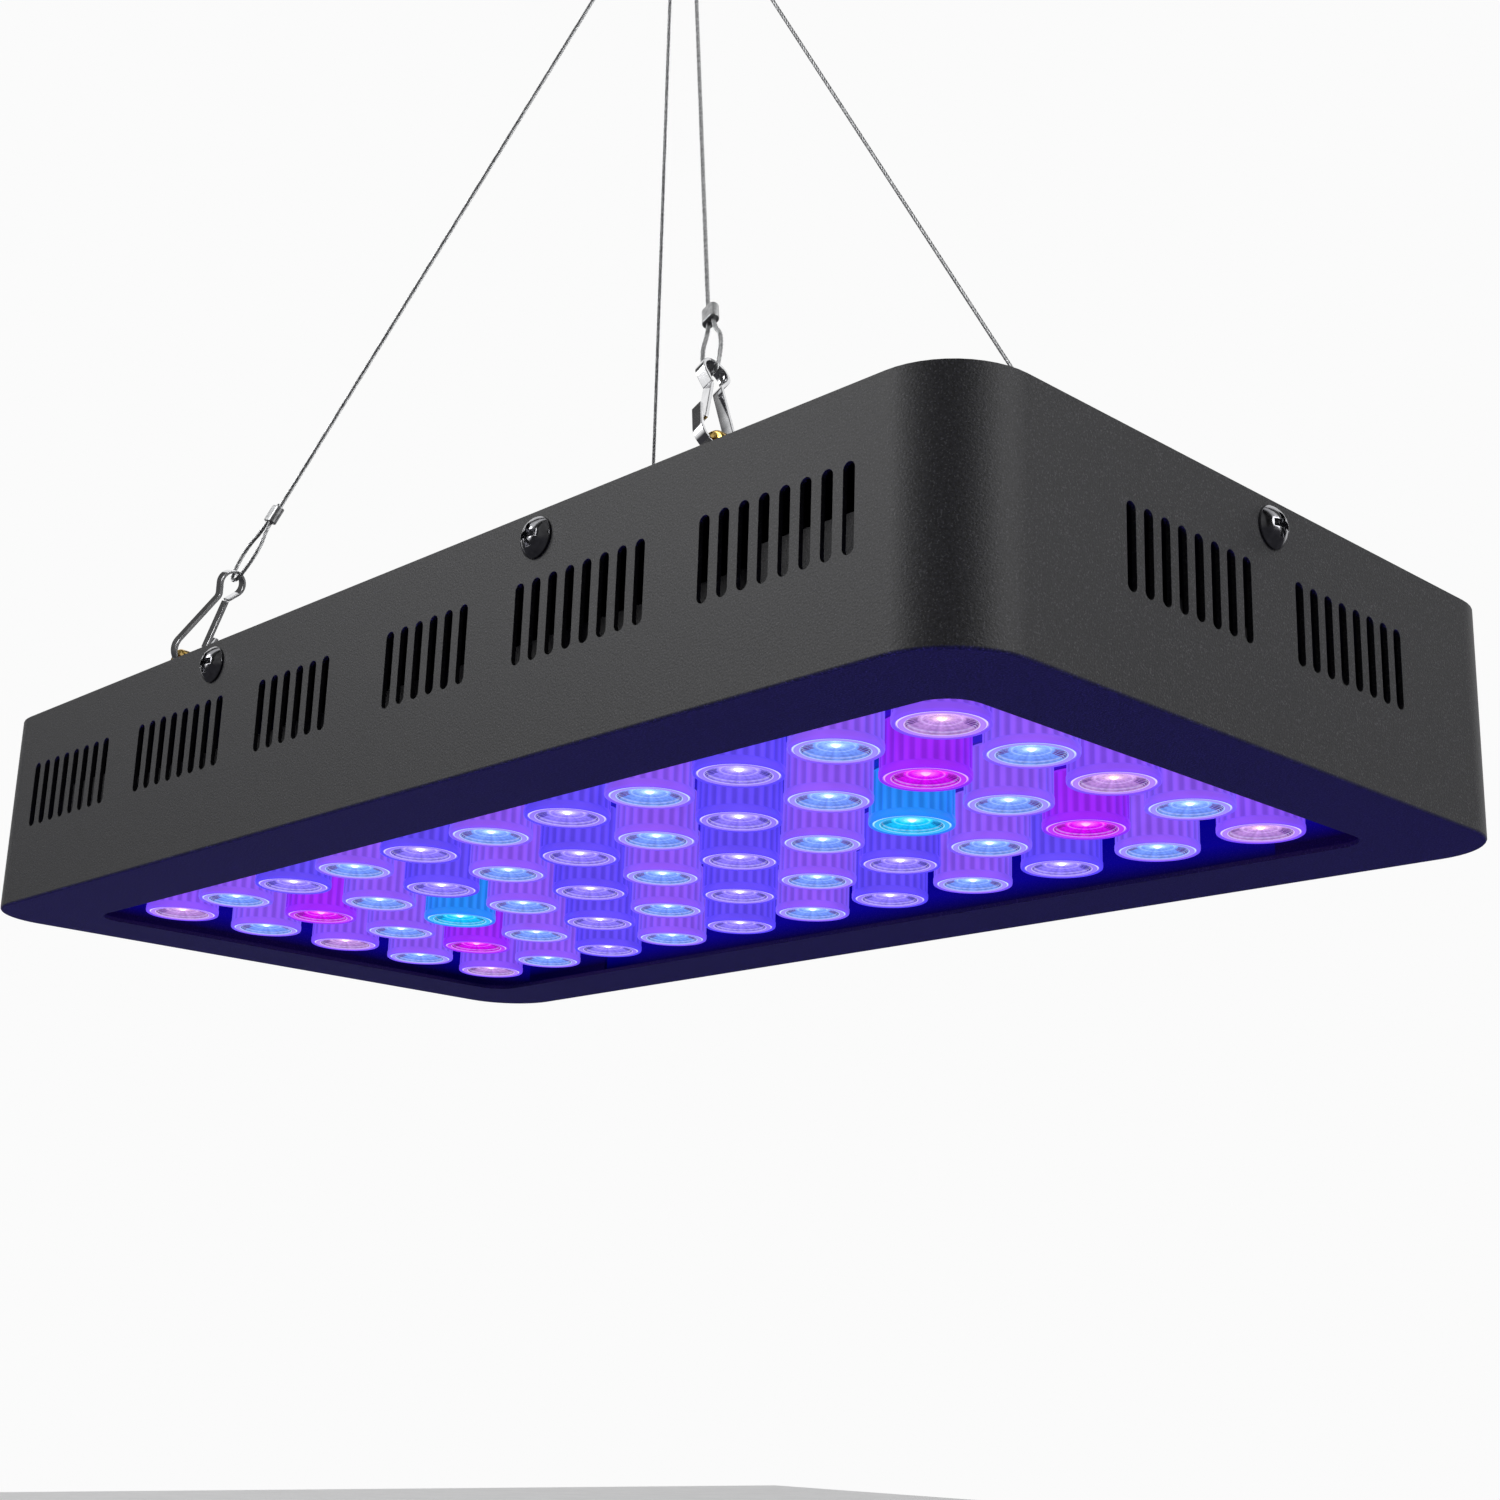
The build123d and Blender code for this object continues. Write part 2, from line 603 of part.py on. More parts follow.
def hanging_lines(name):
    """Bow seat, ring seat, upward direction and the hook's two cross directions at one corner."""
    sx, sy, rank, latch = CORNERS[name]
    seat = Vector(sx * ANCHOR_X, sy * ANCHOR_Y, HOOK_SEAT_Z)
    ring = Vector(RING_X + sx * rank * ROPE_SPACING, 0, WIRE_RISE)
    rise = (ring - seat).normalized()
    across = Vector(0, 1, 0)
    across = (across - rise * across.dot(rise)).normalized()
    normal = rise.cross(across * latch)
    return seat, ring, rise, across * latch, normal


def hanging_ring():
    """Steel ring with a straight lower bar, welded from one round wire."""
    half = RING_BAR / 2
    low = WIRE_RISE
    high = WIRE_RISE + RING_SIDE
    lower = FilletPolyline((-half, high), (-half, low), (half, low), (half, high), radius=RING_CORNER_R)
    upper = ThreePointArc((half, high), (0, high + RING_TOP_R), (-half, high))
    path = Pos(RING_X, 0, 0) * Plane.XZ * Wire(lower.edges() + upper.edges())
    section = Plane(path @ 0, z_dir=path % 0) * Circle(RING_WIRE_R)
    return sweep(section, path)


def strip(line, plane):
    """Flat spring strip along a line of the hook's plane."""
    return plane * extrude(trace(line, STRIP_THICK), STRIP_WIDTH / 2, both=True)


def tangent_point(point, centre_a, radius, side):
    """Where a line from a point touches a circle centred on the hook's middle line."""
    height = point[1] - centre_a
    turn = atan2(height, point[0]) + side * acos(radius / hypot(point[0], height))
    return (radius * cos(turn), centre_a + radius * sin(turn))


def hook_plane(name):
    seat, _, rise, across, normal = hanging_lines(name)
    return Plane(seat, x_dir=across, z_dir=across.cross(rise))


def snap_hook(name):
    """One bent strip: root of the latch, eye, neck, solid arm, bow and closing tab."""
    left_neck = (-HOOK_NECK, HOOK_NECK_A)
    right_neck = (HOOK_NECK, HOOK_NECK_A)
    left_touch = tangent_point(left_neck, HOOK_EYE_A, HOOK_EYE_R, -1)
    right_touch = (-left_touch[0], left_touch[1])
    arm_foot = tangent_point(left_neck, HOOK_BOW_R, HOOK_BOW_R, 1)
    line = Line(right_neck, right_touch)
    line += ThreePointArc(right_touch, (0, HOOK_EYE_A + HOOK_EYE_R), left_touch)
    line += FilletPolyline(left_touch, left_neck, arm_foot, radius=HOOK_NECK_R)
    line += ThreePointArc(arm_foot, (0, 0), (HOOK_BOW_R, HOOK_BOW_R))
    line += Line((HOOK_BOW_R, HOOK_BOW_R), (HOOK_BOW_R, HOOK_TAB_A))
    return strip(line, hook_plane(name))


def snap_latch(name):
    """Sprung closing arm, from the neck down to the inside of the tab."""
    root = (HOOK_NECK, HOOK_NECK_A - LATCH_GAP)
    return strip(Line(root, (LATCH_L, LATCH_A)), hook_plane(name))


def hanging_anchors():
    """Brass eyes with hexagon bases, their holes along Y and their studs through the lid."""
    anchors = []
    rim = ANCHOR_EYE_R - ANCHOR_HOLE_R
    section = Pos(ANCHOR_HOLE_R + rim / 2, 0) * RectangleRounded(rim, ANCHOR_EYE_THICK, ANCHOR_EYE_ROUND)
    eye = Rot(90, 0, 0) * revolve(Plane.XZ * section, Axis.Z)
    for x, y in corners(ANCHOR_X, ANCHOR_Y):
        base = extrude(RegularPolygon(ANCHOR_AF / 2, 6, major_radius=False), ANCHOR_BASE)
        stud = disc(ANCHOR_STUD_R, -ANCHOR_STUD_LENGTH, 0)
        anchors.append(Pos(x, y, HEIGHT) * (base + stud + Pos(0, 0, ANCHOR_EYE_Z - HEIGHT) * eye))
    return anchors


def anchor_nuts():
    nut = extrude(RegularPolygon(ANCHOR_NUT_AF / 2, 6, major_radius=False), ANCHOR_NUT_THICK)
    nut -= Cylinder(ANCHOR_STUD_R + 0.02, 4 * ANCHOR_NUT_THICK)
    return [Pos(x, y, LID_UNDER - ANCHOR_NUT_THICK) * nut for x, y in corners(ANCHOR_X, ANCHOR_Y)]


def loop_points(centre, out, side, radius):
    """Rope round a bar, from its cut end through the ferrule, out to the loop's swell and back."""
    spread = asin(radius / hypot(LOOP_MIDDLE, LOOP_SWELL)) - atan2(LOOP_SWELL, LOOP_MIDDLE)
    turn = (pi + 2 * spread) / 3
    reach = radius / cos(turn / 2)
    mouth = LOOP_MOUTH - LOOP_LENGTH
    flat = [(-LOOP_LENGTH - FERRULE_LENGTH - ROPE_END, LEG_GAP), (mouth, LEG_GAP), (-LOOP_MIDDLE, LOOP_SWELL)]
    flat += [(reach * cos(angle), reach * sin(angle)) for angle in (turn, 0, -turn)]
    flat += [(-LOOP_MIDDLE, -LOOP_SWELL), (mouth, -LEG_GAP)]
    return [centre + out * s + side * t for s, t in flat]


def rope_ends(name):
    """Centre, outward and sideways directions of the rope's lower and upper loops."""
    seat, ring, rise, across, normal = hanging_lines(name)
    lower = (seat + rise * (HOOK_EYE_A + HOOK_EYE_R), rise * -1, normal)
    upper = (ring, rise, across * CORNERS[name][3])
    return lower, upper


def rope_points(name):
    lower, upper = rope_ends(name)
    return loop_points(*lower, LOWER_LOOP_R) + loop_points(*upper, UPPER_LOOP_R)[::-1]


def wire_rope(name):
    """Rope as one tube of straight runs and tangent arcs."""
    points = rope_points(name)
    radii = []
    for before, here, after in zip(points, points[1:], points[2:]):
        turn = (here - before).get_angle(after - here)
        shorter = min((here - before).length, (after - here).length)
        radii.append(0.45 * shorter / tan(radians(turn / 2)))
    print(name, "rope arcs", [round(radius, 1) for radius in radii])
    path = FilletPolyline(*points, radius=radii)
    section = Plane(path @ 0, z_dir=path % 0) * Circle(ROPE_R)
    return sweep(section, path), path.length


def ferrule(centre, out, side):
    """Flat oval crimp sleeve with one hole for each leg of the rope."""
    plane = Plane(centre - out * (LOOP_LENGTH + FERRULE_LENGTH), x_dir=side, z_dir=out)
    sleeve = extrude(SlotOverall(FERRULE_WIDTH, FERRULE_THICK), FERRULE_LENGTH)
    sleeve = fillet(sleeve.faces().filter_by(Plane.XY).edges(), FERRULE_ROUND)
    for leg in (-LEG_GAP, LEG_GAP):
        sleeve -= Pos(leg, 0, 0) * Cylinder(ROPE_R + 0.02, 4 * FERRULE_LENGTH)
    return plane * sleeve


# ---- every node

save("case_shell", case_shell())
save("top_lid", top_lid())
save("corner_brackets", corner_brackets())
save("case_screws", [at_wall(wall, along, SCREW_Z) * CASE_SCREW for wall, along in CASE_SCREWS])

save("led_board", led_board())
save("heat_sink", heat_sink())
CUP = lens_cup()
OPTIC = lens_optic()
LED = led()
for row in range(1, ROWS + 1):
    save(f"lens_cups_row_{row}", [Pos(x, y, 0) * CUP for x, y, c, r in PLACES if r == row])
for colour in ("blue", "cool_white", "warm_white", "red", "cyan"):
    places = [Pos(x, y, 0) for x, y, c, r in PLACES if colour_of(c, r) == colour]
    save(f"lens_optics_{colour}", [place * OPTIC for place in places])
    save(f"leds_{colour}", [place * LED for place in places])
board_screw = Rot(180, 0, 0) * truss_screw(*BOARD_SCREW_SIZE)
save("board_screws", [Pos(x, y, BOARD_Z) * board_screw for x, y in BOARD_SCREWS])

for side, place in zip(("left", "right"), fan_places()):
    save(f"fan_frame_{side}", place * fan_frame())
    save(f"fan_rotor_{side}", place * fan_rotor())
    save(f"finger_guard_{side}", place * finger_guard())
save("fan_screws", fan_screws())

SIDES = (-1, 1)
save("led_drivers", [led_driver(sign) for sign in SIDES])
save("power_inlets", [power_inlet(sign) for sign in SIDES])
save("dimmer_pots", [dimmer_pot(sign) for sign in SIDES])
save("pot_nuts", [pot_nut(sign) for sign in SIDES])
for side, sign in (("front", 1), ("back", -1)):
    save(f"pot_shaft_{side}", pot_shaft(sign))
    save(f"dimmer_knob_{side}", dimmer_knob(sign))
save("driver_screws", driver_screws())
save("terminal_block", terminal_block())
save("inlet_pins", inlet_pins())
save("inlet_screws", inlet_screws())

save("hanging_ring", hanging_ring())
save("hanging_anchors", hanging_anchors())
save("anchor_nuts", anchor_nuts())
for name in CORNERS:
    save(f"snap_hook_{name}", snap_hook(name))
    save(f"snap_latch_{name}", snap_latch(name))
    rope, length = wire_rope(name)
    save(f"wire_rope_{name}", rope)
    print(name, "rope length", round(length, 1), "volume ratio", rope.volume / (pi * ROPE_R**2 * length))
save("lower_ferrules", [ferrule(*rope_ends(name)[0]) for name in CORNERS])
save("upper_ferrules", [ferrule(*rope_ends(name)[1]) for name in CORNERS])
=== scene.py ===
import math

import bmesh
import bpy
from mathutils import Matrix, Vector


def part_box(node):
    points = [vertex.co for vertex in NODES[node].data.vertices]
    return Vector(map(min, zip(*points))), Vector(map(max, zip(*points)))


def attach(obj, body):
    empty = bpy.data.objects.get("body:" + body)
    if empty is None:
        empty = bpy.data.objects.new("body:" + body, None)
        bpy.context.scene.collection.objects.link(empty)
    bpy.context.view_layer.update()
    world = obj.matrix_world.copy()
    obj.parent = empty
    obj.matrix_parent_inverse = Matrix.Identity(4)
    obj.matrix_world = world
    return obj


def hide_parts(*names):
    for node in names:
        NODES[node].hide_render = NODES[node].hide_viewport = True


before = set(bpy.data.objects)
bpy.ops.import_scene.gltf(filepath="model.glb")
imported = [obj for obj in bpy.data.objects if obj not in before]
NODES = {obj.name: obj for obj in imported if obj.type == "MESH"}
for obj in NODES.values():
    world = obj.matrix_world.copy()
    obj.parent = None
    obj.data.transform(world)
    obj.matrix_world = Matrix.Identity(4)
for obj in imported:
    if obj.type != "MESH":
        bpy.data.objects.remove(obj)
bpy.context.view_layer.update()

# A hanging reef light: powder-coated case, 55 lit lenses in its window, four wire ropes and snap
# hooks. The frame is in metres; sizes here are in millimetres and are turned to metres by MM.
MM = 0.001
CASE_LOW, CASE_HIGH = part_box("case_shell")
CASE_FOOT = Vector(((CASE_LOW.x + CASE_HIGH.x) / 2, 0, CASE_LOW.z))

# Middle and inner radius of the case's corners, and heights inside it, in millimetres.
CORNER_CENTRE = Vector((180.0, 86.0, 0.0)) * MM
INNER_R = 19.2
FACE_Z = 1.7
BOARD_Z = 15.2
# Tops of the painted blue LED light on the case's walls and on the heat sink, then the distances over which
# the board's painted LED light fades.
WALL_PAINTED_LIGHT_TOP = 21.0
SINK_PAINTED_LIGHT_TOP = 17.0
BOARD_LIGHT_FADE = (60.0, 82.0)


def place(x, y, z):
    """Point in the frame, from millimetres off the middle of the case's bottom."""
    return CASE_FOOT + Vector((x, y, z)) * MM


# ---- camera

CAMERA_PLACE = (450.3, -398.9, -135.3)
CAMERA_TURN = (136.227, 16.246, 1.776)  # heading from +X, climb and roll, in degrees
CAMERA_LENS = 52.78


def add_camera():
    heading, climb, roll = (math.radians(angle) for angle in CAMERA_TURN)
    data = bpy.data.cameras.new("studio_camera")
    data.sensor_width = 36
    data.lens = CAMERA_LENS
    data.clip_start = 0.01
    camera = bpy.data.objects.new("studio_camera", data)
    bpy.context.scene.collection.objects.link(camera)
    turn = Matrix.Rotation(heading - math.pi / 2, 4, "Z") @ Matrix.Rotation(math.pi / 2 + climb, 4, "X")
    camera.matrix_world = Matrix.Translation(place(*CAMERA_PLACE)) @ turn @ Matrix.Rotation(roll, 4, "Z")
    bpy.context.scene.camera = camera


# ---- materials


def linear(code):
    """Linear colour of an sRGB hex code."""
    parts = [int(code[i:i + 2], 16) / 255 for i in (1, 3, 5)]
    return [p / 12.92 if p <= 0.04045 else ((p + 0.055) / 1.055) ** 2.4 for p in parts] + [1.0]


def add(tree, kind, inputs=(), **settings):
    """Add a node, with its settings and its inputs' values or links."""
    made = tree.nodes.new("ShaderNode" + kind)
    for name, value in settings.items():
        setattr(made, name, value)
    for name, value in dict(inputs).items():
        if isinstance(value, bpy.types.NodeSocket):
            tree.links.new(value, made.inputs[name])
        else:
            made.inputs[name].default_value = value
    return made


def new_material(name, **shader):
    """Material with one principled surface. Returns it, its tree and its shader."""
    made = bpy.data.materials.new(name)
    made.use_nodes = True
    tree = made.node_tree
    tree.nodes.clear()
    values = {key.replace("_", " "): value for key, value in shader.items()}
    surface = add(tree, "BsdfPrincipled", values)
    add(tree, "OutputMaterial", {"Surface": surface.outputs[0]})
    return made, tree, surface


def per_metre(size):
    """Noise scale for a feature of this size in millimetres."""
    return 1 / (size * MM)


def finish_with(tree, surface, low, high, size, bump=0.0, depth=0.05, roughness=None, detail=3.0):
    """Mottle a surface between two colours at one scale, and let it stand up by a bump of that scale.
    Returns the node that gives its colour."""
    where = add(tree, "TexCoord").outputs["Object"]
    grain = add(tree, "TexNoise", {"Vector": where, "Scale": per_metre(size), "Detail": detail})
    shade = add(tree, "MapRange", {"Value": grain.outputs[0], "From Min": 0.3, "From Max": 0.7})
    colour = add(tree, "MixRGB", {"Fac": shade.outputs[0], "Color1": linear(low), "Color2": linear(high)})
    tree.links.new(colour.outputs[0], surface.inputs["Base Color"])
    if roughness:
        dull = add(tree, "MapRange", {"Value": grain.outputs[0], "To Min": roughness[0],
                                      "To Max": roughness[1]})
        tree.links.new(dull.outputs[0], surface.inputs["Roughness"])
    if bump:
        relief = add(tree, "Bump", {"Strength": bump, "Distance": depth * MM, "Height": grain.outputs[0]})
        tree.links.new(relief.outputs[0], surface.inputs["Normal"])
    return colour


def painted_inner_light(tree, surface, top):
    """Painted blue light of the LEDs on the metal inside the case: emission standing in for their light,
    strongest just under their board. It keeps inside the walls and above the flange's lower face, so the
    outside stays plain."""
    where = add(tree, "TexCoord").outputs["Object"]
    local = add(tree, "VectorMath", {0: where, 1: CASE_FOOT}, operation="SUBTRACT").outputs[0]
    height = add(tree, "SeparateXYZ", {0: local}).outputs["Z"]
    rise = add(tree, "MapRange", {"Value": height, "From Min": 8 * MM, "From Max": 14 * MM,
                                  "To Min": 0.01, "To Max": 0.24})
    # Distance beyond the straight stretches, so that the round corners keep the same inset.
    flat = add(tree, "VectorMath", {0: local, 1: (1, 1, 0)}, operation="MULTIPLY").outputs[0]
    spread = add(tree, "VectorMath", {0: flat}, operation="ABSOLUTE").outputs[0]
    beyond = add(tree, "VectorMath", {0: spread, 1: CORNER_CENTRE}, operation="SUBTRACT").outputs[0]
    outward = add(tree, "VectorMath", {0: beyond, 1: (0, 0, 0)}, operation="MAXIMUM").outputs[0]
    reach = add(tree, "VectorMath", {0: outward}, operation="LENGTH").outputs["Value"]
    strength = rise.outputs[0]
    for value, test, limit in ((reach, "LESS_THAN", INNER_R), (height, "GREATER_THAN", 0.1),
                               (height, "LESS_THAN", top)):
        within = add(tree, "Math", {0: value, 1: limit * MM}, operation=test)
        strength = add(tree, "Math", {0: strength, 1: within.outputs[0]}, operation="MULTIPLY").outputs[0]
    tree.links.new(strength, surface.inputs["Emission Strength"])
    surface.inputs["Emission Color"].default_value = linear("#1000ff")


def powder_coat():
    """Polyester powder coat, baked: dull black with a gritty sparkle. The real grit of 0.2 mm would
    not show, so it is drawn at 0.5 mm, with a few lighter grains."""
    made, tree, surface = new_material("powder_coat_black", Roughness=0.55, IOR=1.5)
    colour = finish_with(tree, surface, "#111113", "#303034", 0.5, bump=0.7, depth=0.14, detail=5.0)
    where = add(tree, "TexCoord").outputs["Object"]
    grains = add(tree, "TexNoise", {"Vector": where, "Scale": per_metre(0.4), "Detail": 1.0})
    spark = add(tree, "MapRange", {"Value": grains.outputs[0], "From Min": 0.6, "From Max": 0.68})
    light = add(tree, "MixRGB", {"Fac": spark.outputs[0], "Color1": colour.outputs[0],
                                 "Color2": linear("#48484a")})
    tree.links.new(light.outputs[0], surface.inputs["Base Color"])
    # Painted blue LED light on the metal inside the case.
    painted_inner_light(tree, surface, WALL_PAINTED_LIGHT_TOP)
    return made


def plain_finish(name, low, high, size, bump=0.0, depth=0.05, roughness=(0.4, 0.5),
                 painted_light_top=0.0, **shader):
    """One mottled finish. The table below says what each gives the eye."""
    made, tree, surface = new_material(name, **shader)
    finish_with(tree, surface, low, high, size, bump, depth, roughness)
    # Painted blue LED light inside the case, up to this height.
    if painted_light_top:
        painted_inner_light(tree, surface, painted_light_top)
    return made


def finishes():
    """Every plain finish by name."""
    return {
        # Powder coat: dull black with gritty sparkle.
        "coat": powder_coat(),
        # Black zinc on steel: dark mirror with a soft bloom.
        "black_zinc": plain_finish("black_zinc_screw", "#86868a", "#a8a8ac", 1.5, roughness=(0.1, 0.2),
                                   Metallic=1.0),
        # Nickel plate on spring steel: bright, with faint waviness.
        "nickel": plain_finish("nickel_plate_polished", "#c9cacc", "#e2e2e4", 4.0, 0.12, 0.03, (0.05, 0.13),
                               Metallic=1.0),
        # Chrome on round wire: brighter and smoother.
        "chrome": plain_finish("chrome_plate_wire", "#d0d2d6", "#e6e7ea", 5.0, 0.08, 0.02, (0.04, 0.1),
                               Metallic=1.0),
        # Galvanised strand wire: light grey, a little dull between the strands.
        "strand": plain_finish("galvanised_strand", "#a2a3a5", "#dcddde", 1.2, 0.2, 0.02, (0.22, 0.42),
                               Metallic=1.0),
        # Pressed aluminium: soft grey with press marks.
        "aluminium": plain_finish("pressed_aluminium", "#a9aaac", "#d3d4d5", 1.4, 0.25, 0.04, (0.28, 0.45),
                                  Metallic=1.0),
        # Extruded aluminium: cooler and duller.
        "extrusion": plain_finish("extruded_aluminium", "#8d9094", "#b3b5b8", 3.0, 0.2, 0.05, (0.35, 0.55),
                                  Metallic=1.0),
        # Turned brass: polished gold with slight tarnish.
        "brass": plain_finish("turned_brass_polished", "#b08a3a", "#e2c070", 1.6, 0.1, 0.02, (0.1, 0.26),
                              Metallic=1.0),
        # Zinc-plated sheet: grey spangle.
        "zinc": plain_finish("zinc_plated_sheet", "#56585a", "#8b8d8f", 2.2, 0.4, 0.06, (0.4, 0.6),
                             Metallic=0.6),
        # Black-anodised extrusion: dull black, with painted blue LED light underneath.
        "anodised": plain_finish("anodised_extrusion_black", "#101011", "#1b1b1d", 1.2, 0.2, 0.04,
                                 (0.45, 0.6), painted_light_top=SINK_PAINTED_LIGHT_TOP, IOR=1.5),
        # Moulded ABS: black with a fine spark-eroded texture, drawn at 0.6 mm.
        "abs": plain_finish("abs_moulded_black", "#101012", "#1d1d1f", 0.6, 0.25, 0.03, (0.42, 0.58),
                            IOR=1.5),
        # Nylon sockets: black with a satin shine.
        "nylon": plain_finish("nylon_satin_black", "#0d0d0e", "#19191b", 0.9, 0.15, 0.03, (0.3, 0.42),
                              IOR=1.53),
        # Glass-filled PBT: grey-black fan plastic with flow marks.
        "pbt": plain_finish("pbt_fan_black", "#0e0e10", "#1b1c1e", 2.0, 0.15, 0.04, (0.38, 0.5), IOR=1.57),
        # Moulded polyamide: ivory terminal strip.
        "ivory": plain_finish("polyamide_ivory", "#cfcbbb", "#e3e0d2", 3.0, 0.1, 0.03, (0.4, 0.5), IOR=1.53),
        # Tinned brass contacts: pale metal, a little warm.
        "contact": plain_finish("tinned_contact", "#9c9a8e", "#c6c3b5", 1.5, 0.1, 0.02, (0.2, 0.35),
                                Metallic=1.0),
    }


def solder_mask():
    """Solder mask on the LED board, with the blue light of its own LEDs painted in as deep blue colour and
    blue emission, near black at the window.
    """
    made, tree, surface = new_material("solder_mask_lit", Roughness=0.45, IOR=1.5)
    # Deep blue colour: painted light of the LEDs.
    finish_with(tree, surface, "#02023c", "#050564", 6.0)
    # The painted LED light fades towards the long edges of the window, between these distances from the
    # middle.
    where = add(tree, "TexCoord").outputs["Object"]
    across = add(tree, "SeparateXYZ", {0: where}).outputs["Y"]
    reach = add(tree, "Math", {0: across}, operation="ABSOLUTE")
    fall = add(tree, "MapRange", {"Value": reach.outputs[0], "From Min": BOARD_LIGHT_FADE[0] * MM,
                                  "From Max": BOARD_LIGHT_FADE[1] * MM, "To Min": 1.0, "To Max": 0.25})
    strong = add(tree, "Math", {0: fall.outputs[0], 1: 0.22}, operation="MULTIPLY")
    tree.links.new(strong.outputs[0], surface.inputs["Emission Strength"])
    surface.inputs["Emission Color"].default_value = linear("#0000ff")
    return made


# Lit acrylic by LED: holder's colour and its edge colour, lens bowl, rim, feet marks and hot spot.
LIT = {
    "blue": ("#9c60ff", "#6a5cff", "#86b0ff", "#aad2ff", "#b0309c", "#dcffff"),
    "cool_white": ("#6e54ff", "#4e40ff", "#a08cff", "#d2b4ff", "#3c28b4", "#ffffff"),
    "warm_white": ("#965aff", "#6b4cff", "#cf9cd8", "#e6befa", "#9650b4", "#ffdcbe"),
    "red": ("#aa2cff", "#7a30ff", "#ee08f0", "#e63cff", "#a800b4", "#ffa0ff"),
    "cyan": ("#2a96ff", "#3078ff", "#14dcff", "#50f0ff", "#0078c8", "#d0ffff"),
}


def lit_holder():
    """Clear ribbed acrylic holder with light piped down it: the ribs' flats glow, the grooves between
    them are darker, and the wall turns bluer at its edges."""
    made, tree, surface = new_material("ribbed_acrylic_lit", Roughness=0.22, IOR=1.49)
    middle = add(tree, "Attribute", attribute_name="glow").outputs["Color"]
    edge = add(tree, "Attribute", attribute_name="edge_glow").outputs["Color"]
    rib = add(tree, "Attribute", attribute_name="rib").outputs["Fac"]
    turned = add(tree, "LayerWeight", {"Blend": 0.35}).outputs["Facing"]
    colour = add(tree, "MixRGB", {"Fac": turned, "Color1": middle, "Color2": edge})
    where = add(tree, "TexCoord").outputs["Object"]
    cloud = add(tree, "TexNoise", {"Vector": where, "Scale": per_metre(9.0), "Detail": 2.0})
    uneven = add(tree, "MapRange", {"Value": cloud.outputs[0], "From Min": 0.3, "From Max": 0.7,
                                    "To Min": 0.85, "To Max": 1.0})
    ribbed = add(tree, "MapRange", {"Value": rib, "To Min": 0.7, "To Max": 1.0})
    strength = add(tree, "Math", {0: uneven.outputs[0], 1: ribbed.outputs[0]}, operation="MULTIPLY")
    # Base colour is the glow colour darkened: painted LED light tinting the clear acrylic.
    base = add(tree, "MixRGB", {"Fac": 0.85, "Color1": colour.outputs[0], "Color2": linear("#000000")})
    tree.links.new(base.outputs[0], surface.inputs["Base Color"])
    tree.links.new(colour.outputs[0], surface.inputs["Emission Color"])
    tree.links.new(strength.outputs[0], surface.inputs["Emission Strength"])
    return made


